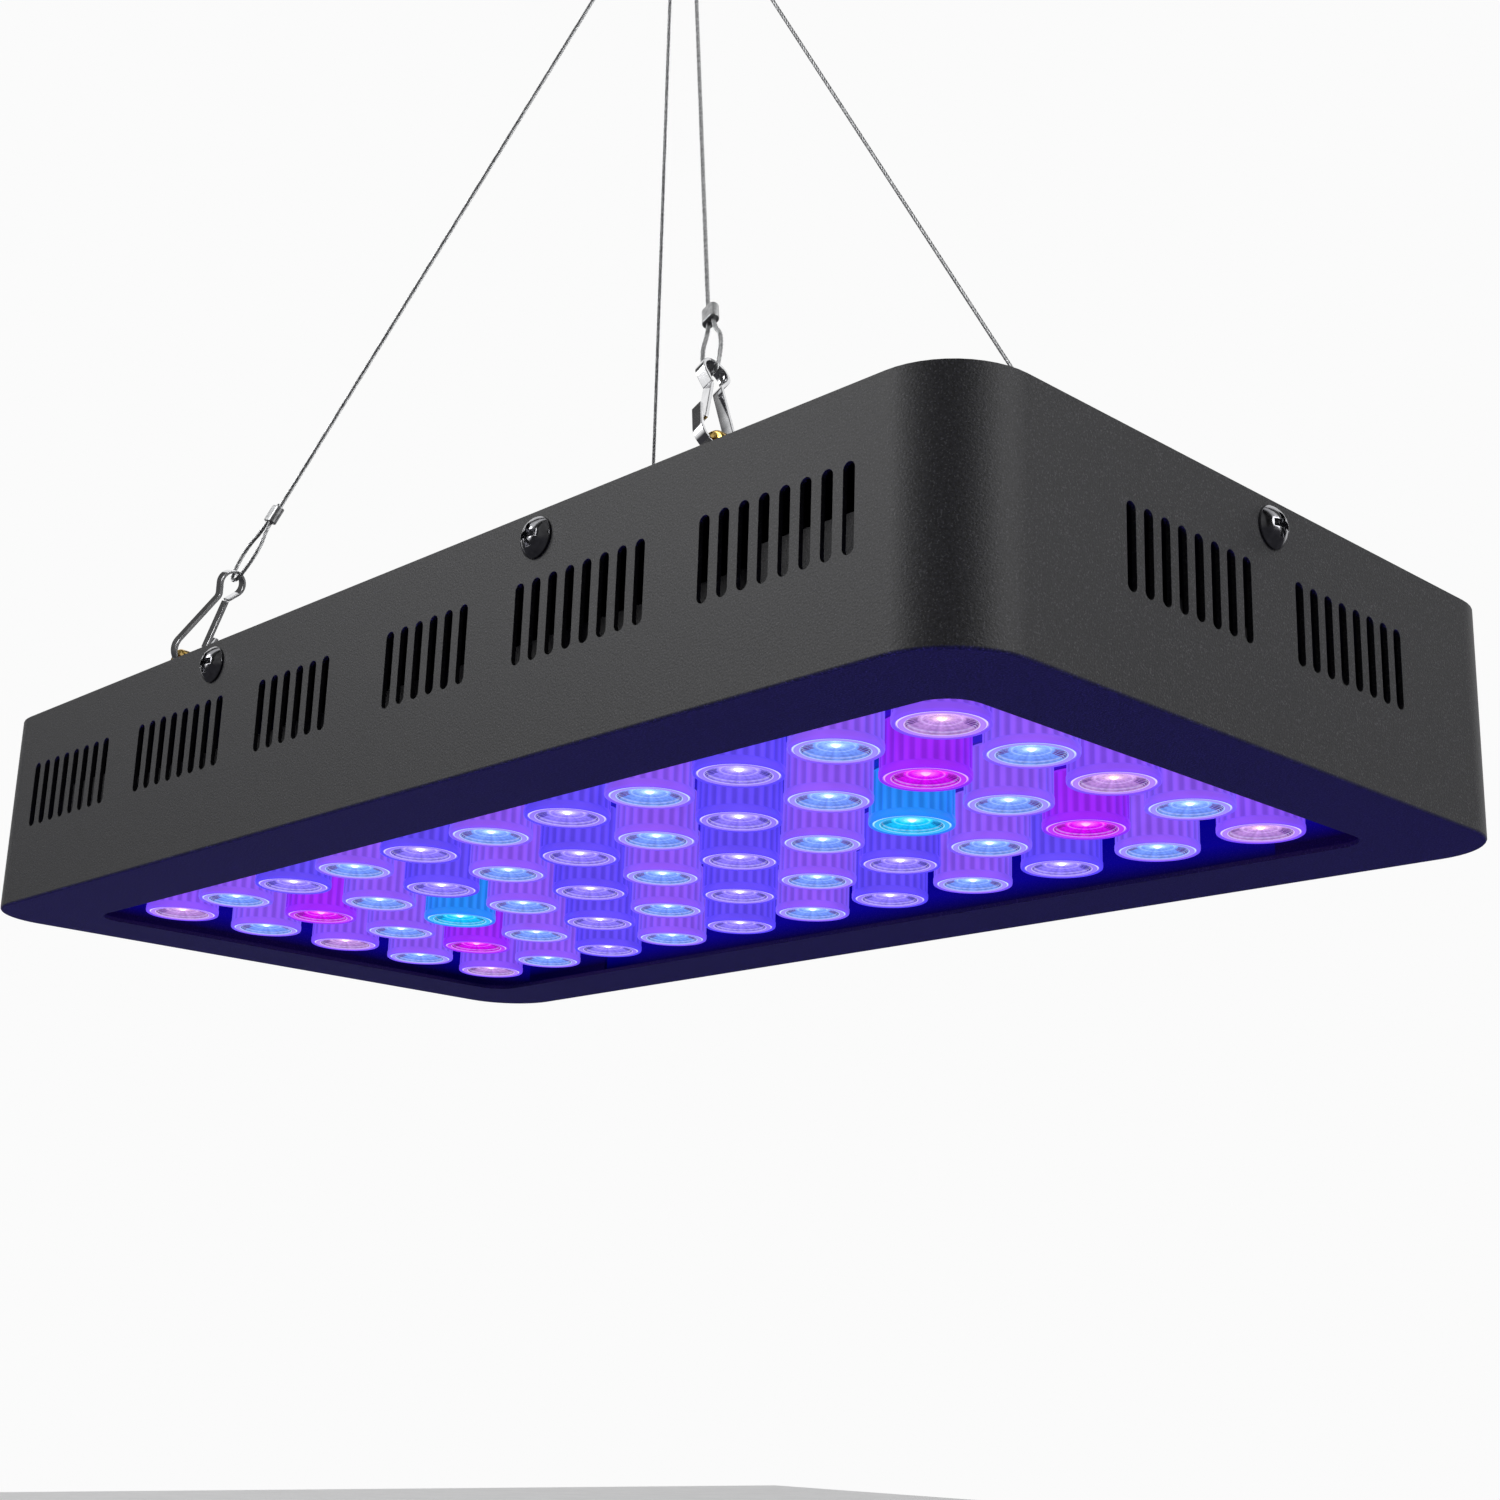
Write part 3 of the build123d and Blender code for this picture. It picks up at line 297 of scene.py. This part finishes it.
def lit_lens(kind):
    """Moulded acrylic lens over a lit LED: bright rim edged by painted highlight lines, glowing bowl with
    faint rings, painted highlight lines and painted shade in it, the lens's feet showing through as short
    dark strokes at two sides, and the LED's hot spot in the middle."""
    body, _, bowl, rim, feet, spot = LIT[kind]
    made, tree, surface = new_material("acrylic_lens_" + kind, Roughness=0.12, IOR=1.49)
    uv = add(tree, "TexCoord").outputs["UV"]
    centred = add(tree, "VectorMath", {0: uv, 1: (0.5, 0.5, 0)}, operation="SUBTRACT")
    local = add(tree, "VectorMath", {0: centred.outputs[0], "Scale": LENS_MAP}, operation="SCALE").outputs[0]
    radius = add(tree, "VectorMath", {0: local}, operation="LENGTH").outputs["Value"]
    axes = add(tree, "SeparateXYZ", {0: local})
    angle = add(tree, "Math", {0: axes.outputs["Y"], 1: axes.outputs["X"]}, operation="ARCTAN2").outputs[0]
    # Faint rings of the mould.
    wave = add(tree, "Math", {0: radius, 1: 2 * math.pi / MOULD_RING}, operation="MULTIPLY")
    ring = add(tree, "Math", {0: wave.outputs[0]}, operation="SINE")
    ringed = add(tree, "MapRange", {"Value": ring.outputs[0], "From Min": -1.0, "To Min": 0.86,
                                    "To Max": 1.0})
    # Two feet, three strokes in each, 10 degrees apart, between 5.2 and 8 mm out.
    turned = add(tree, "Math", {0: angle, 1: math.radians(FEET_ANGLE)}, operation="SUBTRACT").outputs[0]
    double = add(tree, "Math", {0: turned, 1: 2.0}, operation="MULTIPLY")
    opposite = add(tree, "Math", {0: double.outputs[0]}, operation="COSINE")
    cluster = add(tree, "MapRange", {"Value": opposite.outputs[0], "From Min": 0.72, "From Max": 0.78})
    fine = add(tree, "Math", {0: turned, 1: 36.0}, operation="MULTIPLY")
    comb = add(tree, "Math", {0: fine.outputs[0]}, operation="COSINE")
    strokes = add(tree, "MapRange", {"Value": comb.outputs[0], "From Min": -0.5, "From Max": 0.0})
    inner = add(tree, "MapRange", {"Value": radius, "From Min": 5.0, "From Max": 5.4})
    outer = add(tree, "MapRange", {"Value": radius, "From Min": 8.0, "From Max": 7.7})
    band = add(tree, "Math", {0: inner.outputs[0], 1: outer.outputs[0]}, operation="MULTIPLY")
    foot = add(tree, "Math", {0: cluster.outputs[0], 1: strokes.outputs[0]}, operation="MULTIPLY")
    footed = add(tree, "Math", {0: foot.outputs[0], 1: band.outputs[0]}, operation="MULTIPLY")
    # Rim between two thin painted highlight lines, and the hot spot with its halo.
    rimmed = add(tree, "MapRange", {"Value": radius, "From Min": 7.9, "From Max": 8.1})
    off_rim = add(tree, "Math", {0: radius, 1: RIM_MIDDLE}, operation="SUBTRACT")
    from_rim = add(tree, "Math", {0: off_rim.outputs[0]}, operation="ABSOLUTE")
    lined = add(tree, "MapRange", {"Value": from_rim.outputs[0], "From Min": 0.55, "From Max": 0.75})
    rim_colour = add(tree, "MixRGB", {"Fac": 0.7, "Color1": linear(rim), "Color2": linear(body)})
    # Near-white colour of the painted highlight lines.
    painted_highlight_colour = add(tree, "MixRGB", {"Fac": 0.45, "Color1": linear(rim), "Color2": linear("#ffffff")})
    rim_with_painted_highlights = add(tree, "MixRGB", {"Fac": lined.outputs[0], "Color1": rim_colour.outputs[0],
                                     "Color2": painted_highlight_colour.outputs[0]})
    halo = add(tree, "MapRange", {"Value": radius, "From Min": 3.4, "From Max": 1.0, "To Max": 0.45})
    core = add(tree, "MapRange", {"Value": radius, "From Min": 1.4, "From Max": 1.0, "To Max": 0.55})
    hot = add(tree, "Math", {0: halo.outputs[0], 1: core.outputs[0]}, operation="ADD")
    colour = add(tree, "MixRGB", {"Fac": footed.outputs[0], "Color1": linear(bowl), "Color2": linear(feet)})
    # Painted highlights: a bright line where the bowl's wall turns up to its rim, and a fainter one at its
    # floor's edge.
    for line_radius, light in ((7.5, 0.6), (4.4, 0.3)):
        off = add(tree, "Math", {0: radius, 1: line_radius}, operation="SUBTRACT")
        near = add(tree, "Math", {0: off.outputs[0]}, operation="ABSOLUTE")
        drawn = add(tree, "MapRange", {"Value": near.outputs[0], "From Min": 0.3, "From Max": 0.1,
                                       "To Max": light})
        colour = add(tree, "MixRGB", {"Fac": drawn.outputs[0], "Color1": colour.outputs[0],
                                      "Color2": painted_highlight_colour.outputs[0]})
    colour = add(tree, "MixRGB", {"Fac": rimmed.outputs[0], "Color1": colour.outputs[0],
                                  "Color2": rim_with_painted_highlights.outputs[0]})
    colour = add(tree, "MixRGB", {"Fac": hot.outputs[0], "Color1": colour.outputs[0], "Color2": linear(spot)})
    # Streaks running out across the bowl, and painted shade making its steep wall darker than its floor.
    spoke = add(tree, "CombineXYZ", {"X": angle, "Y": ringed.outputs[0]})
    streak = add(tree, "TexNoise", {"Vector": spoke.outputs[0], "Scale": 5.0, "Detail": 3.0})
    streaked = add(tree, "MapRange", {"Value": streak.outputs[0], "From Min": 0.35, "From Max": 0.65,
                                      "To Min": 0.68, "To Max": 1.08})
    wall = add(tree, "MapRange", {"Value": radius, "From Min": 4.2, "From Max": 6.6, "To Min": 1.0,
                                  "To Max": 0.72})
    bowled = add(tree, "Math", {0: streaked.outputs[0], 1: wall.outputs[0]}, operation="MULTIPLY")
    marked = add(tree, "MapRange", {"Value": footed.outputs[0], "To Min": 1.0, "To Max": 0.35})
    bowled = add(tree, "Math", {0: bowled.outputs[0], 1: marked.outputs[0]}, operation="MULTIPLY")
    shade = add(tree, "MixRGB", {"Fac": rimmed.outputs[0], "Color1": bowled.outputs[0],
                                 "Color2": linear("#ffffff")})
    # Base colour is the glow colour darkened: painted LED light tinting the clear acrylic.
    base = add(tree, "MixRGB", {"Fac": 0.85, "Color1": colour.outputs[0], "Color2": linear("#000000")})
    strength = add(tree, "MapRange", {"Value": hot.outputs[0], "To Min": 1.0, "To Max": 2.0})
    ringed_glow = add(tree, "Math", {0: strength.outputs[0], 1: ringed.outputs[0]}, operation="MULTIPLY")
    glow = add(tree, "Math", {0: ringed_glow.outputs[0], 1: shade.outputs[0]}, operation="MULTIPLY")
    tree.links.new(base.outputs[0], surface.inputs["Base Color"])
    tree.links.new(colour.outputs[0], surface.inputs["Emission Color"])
    tree.links.new(glow.outputs[0], surface.inputs["Emission Strength"])
    return made


def lit_die(kind):
    """LED package: milky silicone dome over its die, the brightest thing in the holder."""
    made, tree, surface = new_material("silicone_led_" + kind, Roughness=0.35, IOR=1.41)
    finish_with(tree, surface, "#b8b8a8", "#d8d8cc", 1.5)
    surface.inputs["Emission Color"].default_value = linear(LIT[kind][5])
    surface.inputs["Emission Strength"].default_value = 3.0
    return made


# ---- shapes


def mesh_of_shape(name, shape):
    """Mesh of a bmesh, which is then freed."""
    mesh = bpy.data.meshes.new(name)
    shape.to_mesh(mesh)
    shape.free()
    return mesh


def made_piece(name, shape, material, body, nodes=(), sharp=None):
    """Turn a bmesh into a piece that rides on a body and stands for its CAD nodes."""
    mesh = mesh_of_shape(name, shape)
    mesh.materials.append(material)
    mesh.polygons.foreach_set("use_smooth", [True] * len(mesh.polygons))
    if sharp:
        mesh.set_sharp_from_angle(angle=math.radians(sharp))
    piece = bpy.data.objects.new(name, mesh)
    bpy.context.scene.collection.objects.link(piece)
    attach(piece, body)
    if nodes:
        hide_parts(*nodes)
    return piece


def merged_copy(node, keep=None):
    """The CAD node's shape with its loose triangles joined. keep is the middle and reach of one part."""
    shape = bmesh.new()
    shape.from_mesh(NODES[node].data)
    bmesh.ops.remove_doubles(shape, verts=shape.verts, dist=1e-6)
    if keep:
        centre, reach = keep
        away = [vert for vert in shape.verts if (vert.co - centre).length > reach]
        bmesh.ops.delete(shape, geom=away, context="VERTS")
    bmesh.ops.dissolve_limit(shape, angle_limit=math.radians(0.5), verts=shape.verts, edges=shape.edges)
    return shape


def edged_piece(node, name, material, body, width, segments=2, angle=35, keep=None):
    """A copy of a CAD node with its sharp edges rounded, as a cut or moulded edge is."""
    shape = merged_copy(node, keep)
    sharp = [edge for edge in shape.edges
             if len(edge.link_faces) == 2 and edge.calc_face_angle() > math.radians(angle)]
    bmesh.ops.bevel(shape, geom=sharp, offset=width * MM, offset_type="OFFSET", affect="EDGES",
                    segments=segments, profile=0.5, material=-1, clamp_overlap=True)
    piece = made_piece(name, shape, material, body, [node], sharp=40)
    even = piece.modifiers.new("even_normals", "WEIGHTED_NORMAL")
    even.keep_sharp = True
    return piece


def spin_outline(shape, outline, steps, closed=False):
    """Spin (radius, height) points in millimetres round the upright axis."""
    verts = [shape.verts.new((radius * MM, 0, height * MM)) for radius, height in outline]
    pairs = list(zip(verts, verts[1:] + verts[:1])) if closed else list(zip(verts, verts[1:]))
    edges = [shape.edges.new(pair) for pair in pairs]
    bmesh.ops.spin(shape, geom=verts + edges, cent=(0, 0, 0), axis=(0, 0, 1), angle=2 * math.pi,
                   steps=steps, use_merge=True)
    bmesh.ops.remove_doubles(shape, verts=shape.verts, dist=1e-7)
    bmesh.ops.recalc_face_normals(shape, faces=shape.faces)


# ---- lenses

COLUMNS = 11
ROWS = 5
PITCH_X = 31.13
PITCH_Y = 30.19
RIB_COUNT = 24
RIB_STEPS = 4
RIB_CREST = 10.85
RIB_GROOVE = 10.5
LENS_MAP = 20.0
FEET_ANGLE = 46.0
MOULD_RING = 1.4
RIM_MIDDLE = 8.8
LENS_STEPS = 40


def colour_of(column, row):
    """Chequered blue and white, with warm white at the ends and red and cyan inside them."""
    from_end = min(column, COLUMNS + 1 - column)
    if (column + row) % 2 == 1:
        return "blue"
    if from_end == 1:
        return "warm_white"
    if from_end == 2:
        return "red"
    if from_end == 3 and row == 3:
        return "cyan"
    return "cool_white"


LENSES = [(column, row, place((column - (COLUMNS + 1) / 2) * PITCH_X, (row - (ROWS + 1) / 2) * PITCH_Y, 0))
          for row in range(1, ROWS + 1) for column in range(1, COLUMNS + 1)]


def holder_mesh():
    """One ribbed holder: collar with rounded lips below, flats and grooves above, open inside."""
    shape = bmesh.new()
    ribs_low, ribs_high = FACE_Z + 2.2, BOARD_Z - 0.9
    outline = [(6.0, BOARD_Z - 0.02), (10.2, BOARD_Z - 0.02), (10.6, ribs_high + 0.4), (RIB_CREST, ribs_high),
               (RIB_CREST, ribs_low), (10.9, FACE_Z + 1.9), (11.0, FACE_Z + 1.6), (11.0, FACE_Z + 0.6),
               (10.87, FACE_Z + 0.2), (10.55, FACE_Z), (10.1, FACE_Z), (9.9, FACE_Z + 0.15),
               (9.85, FACE_Z + 0.6), (9.85, BOARD_Z - 1.5), (6.0, BOARD_Z - 1.5)]
    spin_outline(shape, outline, RIB_COUNT * RIB_STEPS, closed=True)
    rib = shape.verts.layers.float.new("rib")
    for vert in shape.verts:
        column = round(math.atan2(vert.co.y, vert.co.x) / (2 * math.pi) * RIB_COUNT * RIB_STEPS) % RIB_STEPS
        ribbed = ribs_low - 0.1 < vert.co.z / MM < ribs_high + 0.1 and vert.co.xy.length > 10 * MM
        if not ribbed:
            vert[rib] = 0.75
        elif column < RIB_STEPS // 2:
            vert[rib] = 1.0
        else:
            vert.co.xy *= RIB_GROOVE / RIB_CREST
    return mesh_of_shape("holder", shape)


def lens_mesh():
    """One lens: rim, stepped bowl and the small dome over the LED, closed behind by its cone."""
    shape = bmesh.new()
    low = FACE_Z + 0.1
    front = [(0, 0.95), (0.5, 1.0), (0.9, 1.2), (1.2, 1.48), (3.8, 1.42), (4.0, 1.25),
             (5.8, 1.05), (6.0, 0.95), (7.6, 0.65), (7.9, 0.3), (8.1, 0.02), (9.5, 0.0), (9.75, 0.2)]
    back = [(9.78, 1.4), (8.8, 1.7), (4.4, 10.6), (0, 10.6)]
    spin_outline(shape, [(radius, low + height) for radius, height in front + back], LENS_STEPS)
    mapped = shape.loops.layers.uv.new("lens_face")
    for face in shape.faces:
        for loop in face.loops:
            loop[mapped].uv = loop.vert.co.xy / (LENS_MAP * MM) + Vector((0.5, 0.5))
    return mesh_of_shape("lens", shape)


def repeated(mesh, places, colours=()):
    """One bmesh with the mesh at every place, its glow colours set for each."""
    shape = bmesh.new()
    for index, spot in enumerate(places):
        known = len(shape.verts)
        shape.from_mesh(mesh)
        bmesh.ops.translate(shape, verts=list(shape.verts)[known:], vec=spot)
        for name, code in zip(("glow", "edge_glow"), LIT[colours[index]][:2] if colours else ()):
            layer = shape.verts.layers.float_color.get(name) or shape.verts.layers.float_color.new(name)
            for vert in list(shape.verts)[known:]:
                vert[layer] = linear(code)
    return shape


def add_lenses():
    holder, lens, acrylic = holder_mesh(), lens_mesh(), lit_holder()
    for row in range(1, ROWS + 1):
        in_row = [(spot, colour_of(column, r)) for column, r, spot in LENSES if r == row]
        shape = repeated(holder, [spot for spot, _ in in_row], [kind for _, kind in in_row])
        made_piece(f"lens_holders_row_{row}", shape, acrylic, "light", [f"lens_cups_row_{row}"],
                   sharp=50)
    for kind in LIT:
        spots = [spot for column, row, spot in LENSES if colour_of(column, row) == kind]
        made_piece(f"moulded_lenses_{kind}", repeated(lens, spots), lit_lens(kind), "light",
                   [f"lens_optics_{kind}"], sharp=50)
        dress(f"leds_{kind}", lit_die(kind))
    for mesh in (holder, lens):
        bpy.data.meshes.remove(mesh)


# ---- wire ropes

RING_X = -11.0
WIRE_RISE = 340.0
ROPE_R = 0.6
ROPE_SPACING = 2.7
LEG_GAP = 0.75
LOWER_LOOP_R = 2.45
UPPER_LOOP_R = 2.8
LOOP_LENGTH = 18.4
LOOP_MOUTH = 2.5
LOOP_MIDDLE = 9.0
LOOP_SWELL = 3.9
FERRULE_LENGTH = 5.5
ROPE_END = 1.0
ANCHOR_X = 115.5
ANCHOR_Y = 91.7
EYE_SEAT_Z = 66.75
HOOK_LENGTH = 32.25
STRAIGHT_POINT = 12 * ROPE_R
CORNERS = {"front_left": (-1, -1, 2.0, 1), "front_right": (1, -1, 2.0, -1),
           "back_left": (-1, 1, 1.0, -1), "back_right": (1, 1, 1.0, 1)}
STRAND_COUNT = 6
STRAND_R = 0.2
STRAND_LAY = 8.0
STRAND_STEP = 0.65


def hanging_lines(name):
    """Bow seat, ring seat, upward direction and the hook's two cross directions at one corner."""
    sx, sy, rank, latch = CORNERS[name]
    seat = Vector((sx * ANCHOR_X, sy * ANCHOR_Y, EYE_SEAT_Z))
    ring = Vector((RING_X + sx * rank * ROPE_SPACING, 0, WIRE_RISE))
    rise = (ring - seat).normalized()
    across = Vector((0, 1, 0))
    across = (across - rise * across.dot(rise)).normalized() * latch
    return seat, ring, rise, across, rise.cross(across)


def loop_points(centre, out, side, radius):
    """Rope round a bar, from its cut end through the ferrule, out to the loop's swell and back."""
    spread = math.asin(radius / math.hypot(LOOP_MIDDLE, LOOP_SWELL)) - math.atan2(LOOP_SWELL, LOOP_MIDDLE)
    turn = (math.pi + 2 * spread) / 3
    reach = radius / math.cos(turn / 2)
    mouth = LOOP_MOUTH - LOOP_LENGTH
    flat = [(-LOOP_LENGTH - FERRULE_LENGTH - ROPE_END, LEG_GAP), (mouth, LEG_GAP), (-LOOP_MIDDLE, LOOP_SWELL)]
    flat += [(reach * math.cos(angle), reach * math.sin(angle)) for angle in (turn, 0, -turn)]
    flat += [(-LOOP_MIDDLE, -LOOP_SWELL), (mouth, -LEG_GAP), (mouth - STRAIGHT_POINT, -LEG_GAP)]
    return [centre + out * s + side * t for s, t in flat]


def rope_ends(name):
    """Centre, outward and sideways directions of the rope's lower and upper loops."""
    seat, ring, rise, across, normal = hanging_lines(name)
    return (seat + rise * HOOK_LENGTH, -rise, normal), (ring, rise, across * CORNERS[name][3])


def rope_route(name):
    lower, upper = rope_ends(name)
    points = loop_points(*lower, LOWER_LOOP_R) + loop_points(*upper, UPPER_LOOP_R)[::-1]
    return [place(*point) for point in points]


def mesh_of_curve(name, curve):
    """Mesh of a curve, which is then removed."""
    held = bpy.data.objects.new(name, curve)
    bpy.context.scene.collection.objects.link(held)
    bpy.context.view_layer.update()
    mesh = bpy.data.meshes.new_from_object(held)
    bpy.data.objects.remove(held)
    bpy.data.curves.remove(curve)
    return mesh


def route_line(name, points):
    """Points read along the route's NURBS spline."""
    curve = bpy.data.curves.new(name + "_route", "CURVE")
    curve.dimensions = "3D"
    curve.resolution_u = 64
    spline = curve.splines.new("NURBS")
    spline.points.add(len(points) - 1)
    for knot, point in zip(spline.points, points):
        knot.co = (*point, 1)
    spline.order_u = 3
    spline.use_endpoint_u = True
    mesh = mesh_of_curve(name + "_route", curve)
    line = [vert.co.copy() for vert in mesh.vertices]
    bpy.data.meshes.remove(mesh)
    return line


def stations(line, step):
    """Even stations along a line: point, direction and a sideways direction that never twists."""
    found = []
    side = (line[1] - line[0]).orthogonal().normalized()
    left = 0.0
    for before, after in zip(line, line[1:]):
        run = after - before
        if run.length == 0:
            continue
        ahead = run.normalized()
        side = (side - ahead * side.dot(ahead)).normalized()
        while left <= run.length:
            found.append((before + ahead * left, ahead, side))
            left += step
        left -= run.length
    return found


def add_rope(name, steel):
    """Wire rope of six strands laid round a core, crimped back on itself at both ends."""
    line = route_line(name, rope_route(name))
    marks = stations(line, STRAND_STEP * MM)
    curve = bpy.data.curves.new(name, "CURVE")
    curve.dimensions = "3D"
    curve.bevel_depth = STRAND_R * MM
    curve.bevel_resolution = 1
    curve.use_fill_caps = True
    for strand in range(STRAND_COUNT + 1):
        offset = 2 * STRAND_R * MM if strand else 0.0
        spline = curve.splines.new("POLY")
        spline.points.add(len(marks) - 1)
        for index, (point, ahead, side) in enumerate(marks):
            angle = 2 * math.pi * (strand / STRAND_COUNT + index * STRAND_STEP / STRAND_LAY)
            out = side * math.cos(angle) + ahead.cross(side) * math.sin(angle)
            spline.points[index].co = (*(point + out * offset), 1)
    mesh = mesh_of_curve(name, curve)
    shape = bmesh.new()
    shape.from_mesh(mesh)
    bpy.data.meshes.remove(mesh)
    rope = made_piece("stranded_rope_" + name, shape, steel, "light", ["wire_rope_" + name])
    return rope, line


def add_hanging(look):
    for name in CORNERS:
        rope, line = add_rope(name, look["strand"])
        for level, (centre, out, _) in zip(("lower", "upper"), rope_ends(name)):
            middle = place(*(centre - out * (LOOP_LENGTH + FERRULE_LENGTH / 2)))
            edged_piece(f"{level}_ferrules", f"crimp_{level}_{name}", look["aluminium"],
                                      "light", 0.2,
                                      keep=(middle, FERRULE_LENGTH * MM))
        edged_piece(f"snap_hook_{name}", f"hook_strip_{name}", look["nickel"], "light", 0.2)
        edged_piece(f"snap_latch_{name}", f"latch_strip_{name}", look["nickel"], f"latch_{name}",
                    0.2)
    edged_piece("hanging_anchors", "eye_bolts", look["brass"], "light", 0.25)
    dress("hanging_ring", look["chrome"])


# ---- case, fittings and inner parts


def dress(node, material):
    """Give a CAD node its finish."""
    held = NODES[node]
    if not held.material_slots:
        held.data.materials.append(material)
    for entry in held.material_slots:
        entry.material = material


def add_case(look):
    edged_piece("case_shell", "case_shell_edged", look["coat"], "light", 0.3, segments=3)
    edged_piece("top_lid", "top_lid_edged", look["coat"], "light", 0.35, segments=3)
    edged_piece("case_screws", "truss_screws", look["black_zinc"], "light", 0.15)
    edged_piece("power_inlets", "moulded_inlets", look["nylon"], "light", 0.3)
    edged_piece("pot_nuts", "dimmer_nuts", look["nickel"], "light", 0.25)
    for held in ("fan", "inlet", "driver"):
        edged_piece(f"{held}_screws", f"{held}_fixings", look["black_zinc"], "light", 0.12)
    for side in ("front", "back"):
        edged_piece(f"dimmer_knob_{side}", f"fluted_knob_{side}", look["abs"], f"dimmer_{side}",
                    0.2)
        dress(f"pot_shaft_{side}", look["extrusion"])
    for side in ("left", "right"):
        edged_piece(f"fan_frame_{side}", f"fan_housing_{side}", look["pbt"], "light", 0.3)
        edged_piece(f"fan_rotor_{side}", f"fan_blades_{side}", look["pbt"], f"fan_{side}", 0.25)
        dress(f"finger_guard_{side}", look["chrome"])
    dressed = {"corner_brackets": "coat", "heat_sink": "anodised", "board_screws": "black_zinc",
               "led_drivers": "extrusion", "dimmer_pots": "zinc", "terminal_block": "ivory",
               "inlet_pins": "contact", "anchor_nuts": "brass"}
    for node, finish in dressed.items():
        dress(node, look[finish])
    dress("led_board", solder_mask())


# ---- studio

FLOOR_DROP = 1800.0
FLOOR_HALF = 30.0  # metres
WATER_BLUE = "#6a5cff"
STRIP_PAIRS = 5


def add_area(name, where, aim, size, watts, code="#ffffff", spread=180):
    data = bpy.data.lights.new(name, "AREA")
    data.shape = "DISK"
    data.size = size
    data.energy = watts
    data.color = linear(code)[:3]
    data.spread = math.radians(spread)
    lamp = bpy.data.objects.new(name, data)
    bpy.context.scene.collection.objects.link(lamp)
    lamp.location = where
    lamp.rotation_euler = (aim - where).to_track_quat("-Z", "Y").to_euler()
    lamp.visible_camera = False
    return lamp


def add_world():
    """Pale room for the camera. Shiny metal sees upright strip lights with dark between them."""
    world = bpy.data.worlds.new("studio")
    bpy.context.scene.world = world
    world.use_nodes = True
    tree = world.node_tree
    tree.nodes.clear()
    axes = add(tree, "SeparateXYZ", {0: add(tree, "TexCoord").outputs["Generated"]})
    heading = add(tree, "Math", {0: axes.outputs["Y"], 1: axes.outputs["X"]}, operation="ARCTAN2")
    turns = add(tree, "Math", {0: heading.outputs[0], 1: float(STRIP_PAIRS)}, operation="MULTIPLY")
    wave = add(tree, "Math", {0: turns.outputs[0]}, operation="SINE")
    strips = add(tree, "MapRange", {"Value": wave.outputs[0], "From Min": -0.3, "From Max": 0.0,
                                    "To Min": 0.08, "To Max": 1.0})
    # The camera's side of the room is darker, which deepens the case's near corner.
    away = add(tree, "Math", {0: heading.outputs[0], 1: math.radians(45)}, operation="ADD")
    near = add(tree, "Math", {0: away.outputs[0]}, operation="COSINE")
    side = add(tree, "MapRange", {"Value": near.outputs[0], "From Min": 0.4, "From Max": 0.92,
                                  "To Min": 1.05, "To Max": 0.12})
    shiny = add(tree, "LightPath").outputs["Is Glossy Ray"]
    room = add(tree, "MixRGB", {"Fac": shiny, "Color1": linear("#e6e6e6"), "Color2": strips.outputs[0]})
    sided = add(tree, "VectorMath", {0: room.outputs[0], "Scale": side.outputs[0]}, operation="SCALE")
    above = add(tree, "MapRange", {"Value": axes.outputs["Z"], "From Min": -0.15, "From Max": 0.1})
    light = add(tree, "MixRGB", {"Fac": above.outputs[0], "Color1": linear("#3c3c40"),
                                 "Color2": sided.outputs[0]})
    seen = add(tree, "LightPath").outputs["Is Camera Ray"]
    shown = add(tree, "MixRGB", {"Fac": seen, "Color1": light.outputs[0], "Color2": linear("#fbfbfb")})
    sky = add(tree, "Background", {"Color": shown.outputs[0]})
    add(tree, "OutputWorld", {"Surface": sky.outputs[0]})


def add_studio():
    shape = bmesh.new()
    bmesh.ops.create_grid(shape, x_segments=1, y_segments=1, size=FLOOR_HALF)
    bmesh.ops.translate(shape, verts=shape.verts, vec=place(0, 0, -FLOOR_DROP))
    mesh = mesh_of_shape("studio_floor", shape)
    floor_material, tree, surface = new_material("painted_floor_pale", Roughness=0.7)
    finish_with(tree, surface, "#e9e9ea", "#efeff0", 400.0)
    mesh.materials.append(floor_material)
    floor = bpy.data.objects.new("studio_floor", mesh)
    bpy.context.scene.collection.objects.link(floor)
    floor.visible_diffuse = False
    floor.visible_glossy = False
    add_world()
    middle = place(0, 0, 30)
    add_area("key_left", middle + Vector((-0.9, -1.5, 0.9)), middle, 1.0, 14)
    add_area("fill_right", middle + Vector((1.7, 0.3, 0.7)), middle, 1.2, 12)
    # Light coming back up from the water: it runs straight up, so that only the underside is blue.
    water = add_area("water_glow", place(-60, 0, -400), place(-60, 0, 0), 0.9, 4.8, WATER_BLUE, spread=10)
    water.visible_glossy = False
    bpy.context.scene.view_settings.view_transform = "Standard"


add_camera()
LOOK = finishes()
add_hanging(LOOK)
add_case(LOOK)
add_lenses()
add_studio()
